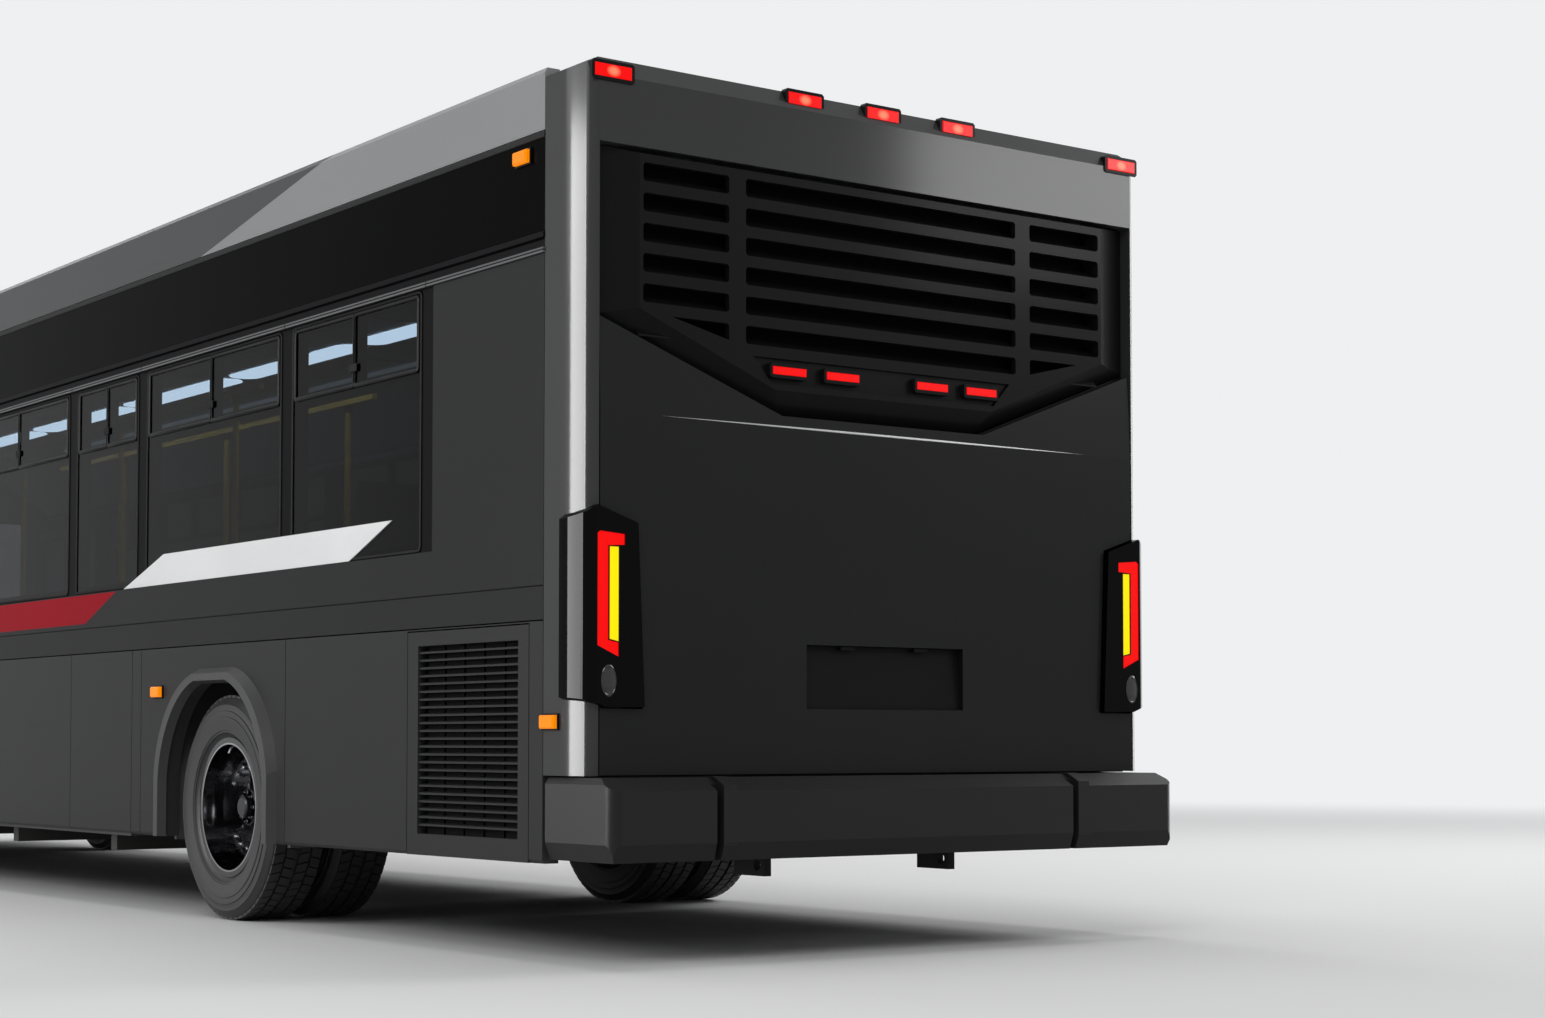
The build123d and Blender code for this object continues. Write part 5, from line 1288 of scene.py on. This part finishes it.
def wipers(w):
    arms, blades = bmesh.new(), bmesh.new()
    (px, pz), (ex, ez), (inner, outer) = w["pivot"], w["elbow"], w["blade"]
    mx, mz = (px + ex) / 2, (pz + ez) / 2
    for side in (-1, 1):
        y = noseAt(side * px, pz)
        addTurned(arms, [(-0.006, 0), (-0.006, 0.026), (0.012, 0.024), (0.026, 0.013), (0.030, 0)], (side * px, y, pz),
                  (0, -1, 0), 18)
        addTube(arms, [(side * px, y - 0.018, pz), (side * mx, noseAt(side * mx, 1.19) - w["off"] - 0.006, mz),
                       (side * ex, noseAt(side * ex, ez) - w["off"] - 0.004, ez)], 0.006, 8)
        xs = [side * (inner + (outer - inner) * i / 8) for i in range(9)]
        line = [(x, noseAt(x, w["bladeZ"]) - 0.016, w["bladeZ"]) for x in xs]
        addTube(blades, line, 0.0065, 6)
        addTube(blades, [(x, y + 0.010, z + 0.001) for x, y, z in line], 0.003, 4)
    finishPiece("wiperArms", arms, "vehicle", bumperPlastic, smooth=True)
    finishPiece("wiperBlades", blades, "vehicle", rubberSeal, smooth=True)


wipers(wiper)


def addRibbon(bm, skin, path, width, proud, sunk=0.003):
    # a flat strip that follows a skin; path is (X, Z) points
    for (ax, az), (bx, bz) in zip(path[:-1], path[1:]):
        along = Vector((bx - ax, 0, bz - az)).normalized()
        out = Vector((along.z, 0, -along.x)) * width / 2
        a = Vector((ax, skin(ax, az) - proud, az))
        b = Vector((bx, skin(bx, bz) - proud, bz))
        over = along * 0.001
        addPrism(bm, [a - out - over, a + out - over, b + out + over, b - out + over], (0, proud + sunk, 0))


def densely(points, step=0.08):
    line = [points[0]]
    for (ax, az), (bx, bz) in zip(points[:-1], points[1:]):
        count = max(1, math.ceil(math.hypot(bx - ax, bz - az) / step))
        line += [(ax + (bx - ax) * i / count, az + (bz - az) * i / count) for i in range(1, count + 1)]
    return line


nosePanel = {"half": 0.70, "z": (0.690, 1.090), "corner": 0.02, "width": 0.006, "proud": 0.0006,
             "latch": (0.56, 0.735)}


def nosePanelLines(n):
    bm = bmesh.new()
    w, (z0, z1), corner = n["half"], n["z"], n["corner"]
    path = [(-w, z0 + corner), (-w + corner, z0), (w - corner, z0), (w, z0 + corner), (w, z1 - corner),
            (w - corner, z1), (-w + corner, z1), (-w, z1 - corner), (-w, z0 + corner)]
    addRibbon(bm, noseAt, densely(path), n["width"], n["proud"])
    finishPiece("nosePanelSeam", bm, "vehicle", rubberSeal)
    latches = bmesh.new()
    for x in (-n["latch"][0], n["latch"][0]):
        z = n["latch"][1]
        addTurned(latches, [(-0.004, 0), (-0.004, 0.021), (0.0015, 0.021), (0.003, 0.018), (0.002, 0.012), (0.002, 0)],
                  (x, noseAt(x, z), z), (0, -1, 0), 24)
    finishPiece("nosePanelLatches", latches, "vehicle", zincSteel, smooth=True)


nosePanelLines(nosePanel)

signBoard = {"half": 0.84, "z": (2.548, 2.852), "y": (0.066, 0.078), "frame": 0.012, "proud": 0.006}


def signPlace(s):
    bm = bmesh.new()
    (low, high), y0, y1 = s["z"], noseFace + s["y"][0], noseFace + s["y"][1]
    addBlock(bm, (-s["half"], y0, low), (s["half"], y1, high))
    for z in (low, high - s["frame"]):
        addBlock(bm, (-s["half"], y0 - s["proud"], z), (s["half"], y0, z + s["frame"]))
    finishPiece("blankSignBoard", bm, "vehicle", blankSign, bevel=0.002)


signPlace(signBoard)

mirrorFace = {"x": 1.425, "z": 2.12, "half": (0.098, 0.196), "y": -6.056, "corner": 0.022, "gap": 0.004}


def roundedRing(cx, cz, w, h, r, y, steps=4):
    ring = []
    for sx, sz, first in ((1, 1, 0), (-1, 1, 90), (-1, -1, 180), (1, -1, 270)):
        for k in range(steps + 1):
            turn = math.radians(first + 90 * k / steps)
            ring.append((cx + sx * (w - r) + r * math.cos(turn), y, cz + sz * (h - r) + r * math.sin(turn)))
    return ring


def mirrorGlasses(m):
    # a large flat glass over a small wide-angle one, each in its rim
    glass, rims = bmesh.new(), bmesh.new()
    w, h = m["half"]
    split = m["z"] - h * 0.45
    for x in (-m["x"], m["x"]):
        for low, high in ((m["z"] - h, split - m["gap"]), (split + m["gap"], m["z"] + h)):
            cz, hh = (low + high) / 2, (high - low) / 2
            addPrism(rims, roundedRing(x, cz, w + 0.004, hh + 0.003, m["corner"], m["y"]), (0, 0.003, 0))
            addPrism(glass, roundedRing(x, cz, w - 0.003, hh - 0.004, m["corner"] - 0.006, m["y"] + 0.002),
                     (0, 0.002, 0))
    finishPiece("mirrorRims", rims, "vehicle", rubberSeal)
    finishPiece("mirrorGlasses", glass, "vehicle", mirrorGlass)


mirrorGlasses(mirrorFace)
print("nose fitted")


# Doors: gaskets round the panes and rubber on the meeting edges, each on its own leaf

doorRubber = {"gasket": 0.020, "depth": 0.008, "corner": 0.036, "overlap": 0.006, "sunk": 0.0015, "edge": 0.003,
              "inset": 0.004}


def leafTrim(leaf, meetsAft, d):
    low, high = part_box(leaf)
    paneLow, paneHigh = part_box(leaf + "_glass")
    spot = ((paneLow[1] + paneHigh[1]) / 2, (paneLow[2] + paneHigh[2]) / 2)
    meshes = [grown(sealRoundPane, Material=rubberSeal, Length=paneHigh[1] - paneLow[1] + d["overlap"],
                    Height=paneHigh[2] - paneLow[2] + d["overlap"], Corner=d["corner"], Width=d["gasket"],
                    Depth=d["depth"], Centre=(x, *spot)) for x in (low[0] + d["sunk"], high[0] - d["sunk"])]
    bm = bmesh.new()
    y = high[1] if meetsAft else low[1] - d["edge"]
    addBlock(bm, (low[0] + d["inset"], y, low[2] + d["inset"]),
             (high[0] - d["inset"], y + d["edge"], high[2] - d["inset"]))
    gathered(leaf + ".rubber", meshes + [meshOf("edgeRubber", bm)], leaf, rubberSeal)


for doorName in ("rear_door", "front_door"):
    leafTrim(doorName + "_aft", False, doorRubber)
    leafTrim(doorName + "_fore", True, doorRubber)
print("doors trimmed")


# Roof: cross seams, and the hatches' ribs and handles

roofSeams = {"backs": (1.6, 3.0, 5.4, 6.6, 7.8, 10.3, 11.2), "half": 1.16, "width": 0.030, "proud": 0.004,
             "sunk": 0.003, "steps": 24}


def roofSeamStrips(r):
    # low strips that follow the roof's camber, their lengths joined into one
    bm = bmesh.new()
    xs = [-r["half"] + 2 * r["half"] * i / r["steps"] for i in range(r["steps"] + 1)]
    out, rise = r["width"] / 2, r["proud"]
    for b in r["backs"]:
        y = forwardOf(b)
        for a, c in zip(xs[:-1], xs[1:]):
            za, zc = roofAt(a, y), roofAt(c, y)
            ring = [(a, y - out, za - r["sunk"]), (a, y - out + rise, za + rise), (a, y + out - rise, za + rise),
                    (a, y + out, za - r["sunk"])]
            addPrism(bm, ring, (c - a, 0, zc - za))
    bmesh.ops.remove_doubles(bm, verts=bm.verts, dist=1e-5)
    inner = [f for f in bm.faces if all(len(e.link_faces) > 2 for e in f.edges)]
    bmesh.ops.delete(bm, geom=inner, context="FACES")
    finishPiece("roofSeams", bm, "vehicle", roofPaint)


roofSeamStrips(roofSeams)

hatchTrim = {"ribs": (-0.24, -0.12, 0.0, 0.12, 0.24), "half": 0.25, "ribHalf": 0.012, "proud": 0.006, "sunk": 0.002,
             "handleHalf": 0.07, "handleIn": 0.035, "handleHigh": 0.022}


def hatchPieces(name, h):
    low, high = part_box(name)
    top, centre, y = high[2], (low[1] + high[1]) / 2, low[1] + h["handleIn"]
    bm = bmesh.new()
    for offset in h["ribs"]:
        mid = centre + offset
        addBlock(bm, (-h["half"], mid - h["ribHalf"], top - h["sunk"]),
                 (h["half"], mid + h["ribHalf"], top + h["proud"]))
    w = h["handleHalf"]
    addTube(bm, [(-w, y, top - 0.001), (-w, y, top + h["handleHigh"]), (w, y, top + h["handleHigh"]),
                 (w, y, top - 0.001)], 0.006, 8)
    finishPiece(name + ".ribs", bm, name, roofPaint, bevel=0.002)


hatchPieces("roof_hatch_rear", hatchTrim)
hatchPieces("roof_hatch_front", hatchTrim)
print("roof finished")


# Under the floor: air tanks, air springs and brake chambers

airTanks = {"x": (0.66, 0.94), "z": 0.500, "radius": 0.120, "y": (3.80, 4.48), "strap": 0.030, "strapIn": 0.17,
            "strapThick": 0.004, "hangerHalf": 0.012, "hangerTop": 0.744}


def airTankPieces(a):
    tanks, straps = bmesh.new(), bmesh.new()
    (y0, y1), r = a["y"], a["radius"]
    dome = [(0, 0), (0.012, r * 0.55), (0.045, r * 0.92), (0.075, r)]
    tank = dome + [(y1 - y0 - along, radius) for along, radius in dome[::-1]]
    band = r + a["strapThick"]
    loop = [(0, r * 0.9), (0, band), (a["strap"], band), (a["strap"], r * 0.9)]
    for x in [side * x for x in a["x"] for side in (-1, 1)]:
        addTurned(tanks, tank, (x, y0, a["z"]), (0, 1, 0), 28)
        for y in (y0 + a["strapIn"], y1 - a["strapIn"]):
            addTurned(straps, loop, (x, y, a["z"]), (0, 1, 0), 28)
            addBlock(straps, (x - a["hangerHalf"], y, a["z"] + r * 0.98),
                     (x + a["hangerHalf"], y + a["strap"], a["hangerTop"]))
    finishPiece("airTanks", tanks, "vehicle", chassisSteel, smooth=True)
    finishPiece("airTankStraps", straps, "vehicle", zincSteel, smooth=True)


airTankPieces(airTanks)

airSpring = {"x": 0.43, "y": (-0.30, 0.30), "low": 0.400, "high": 0.583, "radius": 0.105, "armHalf": 0.045,
             "armReach": 0.40, "arm": (0.372, 0.401)}


def airSprings(a):
    # bags of two lobes on an arm that carries both
    bags, arms = bmesh.new(), bmesh.new()
    r, tall = a["radius"], a["high"] - a["low"]
    bag = [(0, 0), (0, r * 0.72), (0.02, r * 0.95), (tall * 0.27, r), (tall * 0.46, r * 0.93), (tall * 0.50, r * 0.88),
           (tall * 0.54, r * 0.93), (tall * 0.75, r), (tall - 0.02, r * 0.95), (tall, r * 0.72), (tall, 0)]
    for x in (-a["x"], a["x"]):
        for dy in a["y"]:
            addTurned(bags, bag, (x, rearAxleY + dy, a["low"]), (0, 0, 1), 28)
        addBlock(arms, (x - a["armHalf"], rearAxleY - a["armReach"], a["arm"][0]),
                 (x + a["armHalf"], rearAxleY + a["armReach"], a["arm"][1]))
    finishPiece("airSprings", bags, "vehicle", tyreRubber, smooth=True)
    finishPiece("springArms", arms, "vehicle", castIron, bevel=0.006)


airSprings(airSpring)

chamber = {"x": 0.57, "y": 0.125, "z": 0.610, "radius": 0.072, "length": 0.135, "clamp": 0.007}


def brakeChambers(c):
    # two pots in a clamp band, with the push rod down to the axle
    bm = bmesh.new()
    r, n, band = c["radius"], c["length"], c["radius"] + c["clamp"]
    pot = [(0, 0), (0, r * 0.7), (0.02, r * 0.93), (n * 0.45, r), (n * 0.47, band), (n * 0.53, band), (n * 0.55, r),
           (n - 0.02, r * 0.93), (n, r * 0.7), (n, 0)]
    for x in (-c["x"], c["x"]):
        y, z = rearAxleY + c["y"], c["z"]
        addTurned(bm, pot, (x, y, z), (0, 1, 0), 28)
        addTube(bm, [(x, y + 0.01, z), (x, rearAxleY + 0.05, z - 0.04), (x, rearAxleY, z - 0.08)], 0.012, 8)
    finishPiece("brakeChambers", bm, "vehicle", castIron, smooth=True)


brakeChambers(chamber)
print("underside fitted")
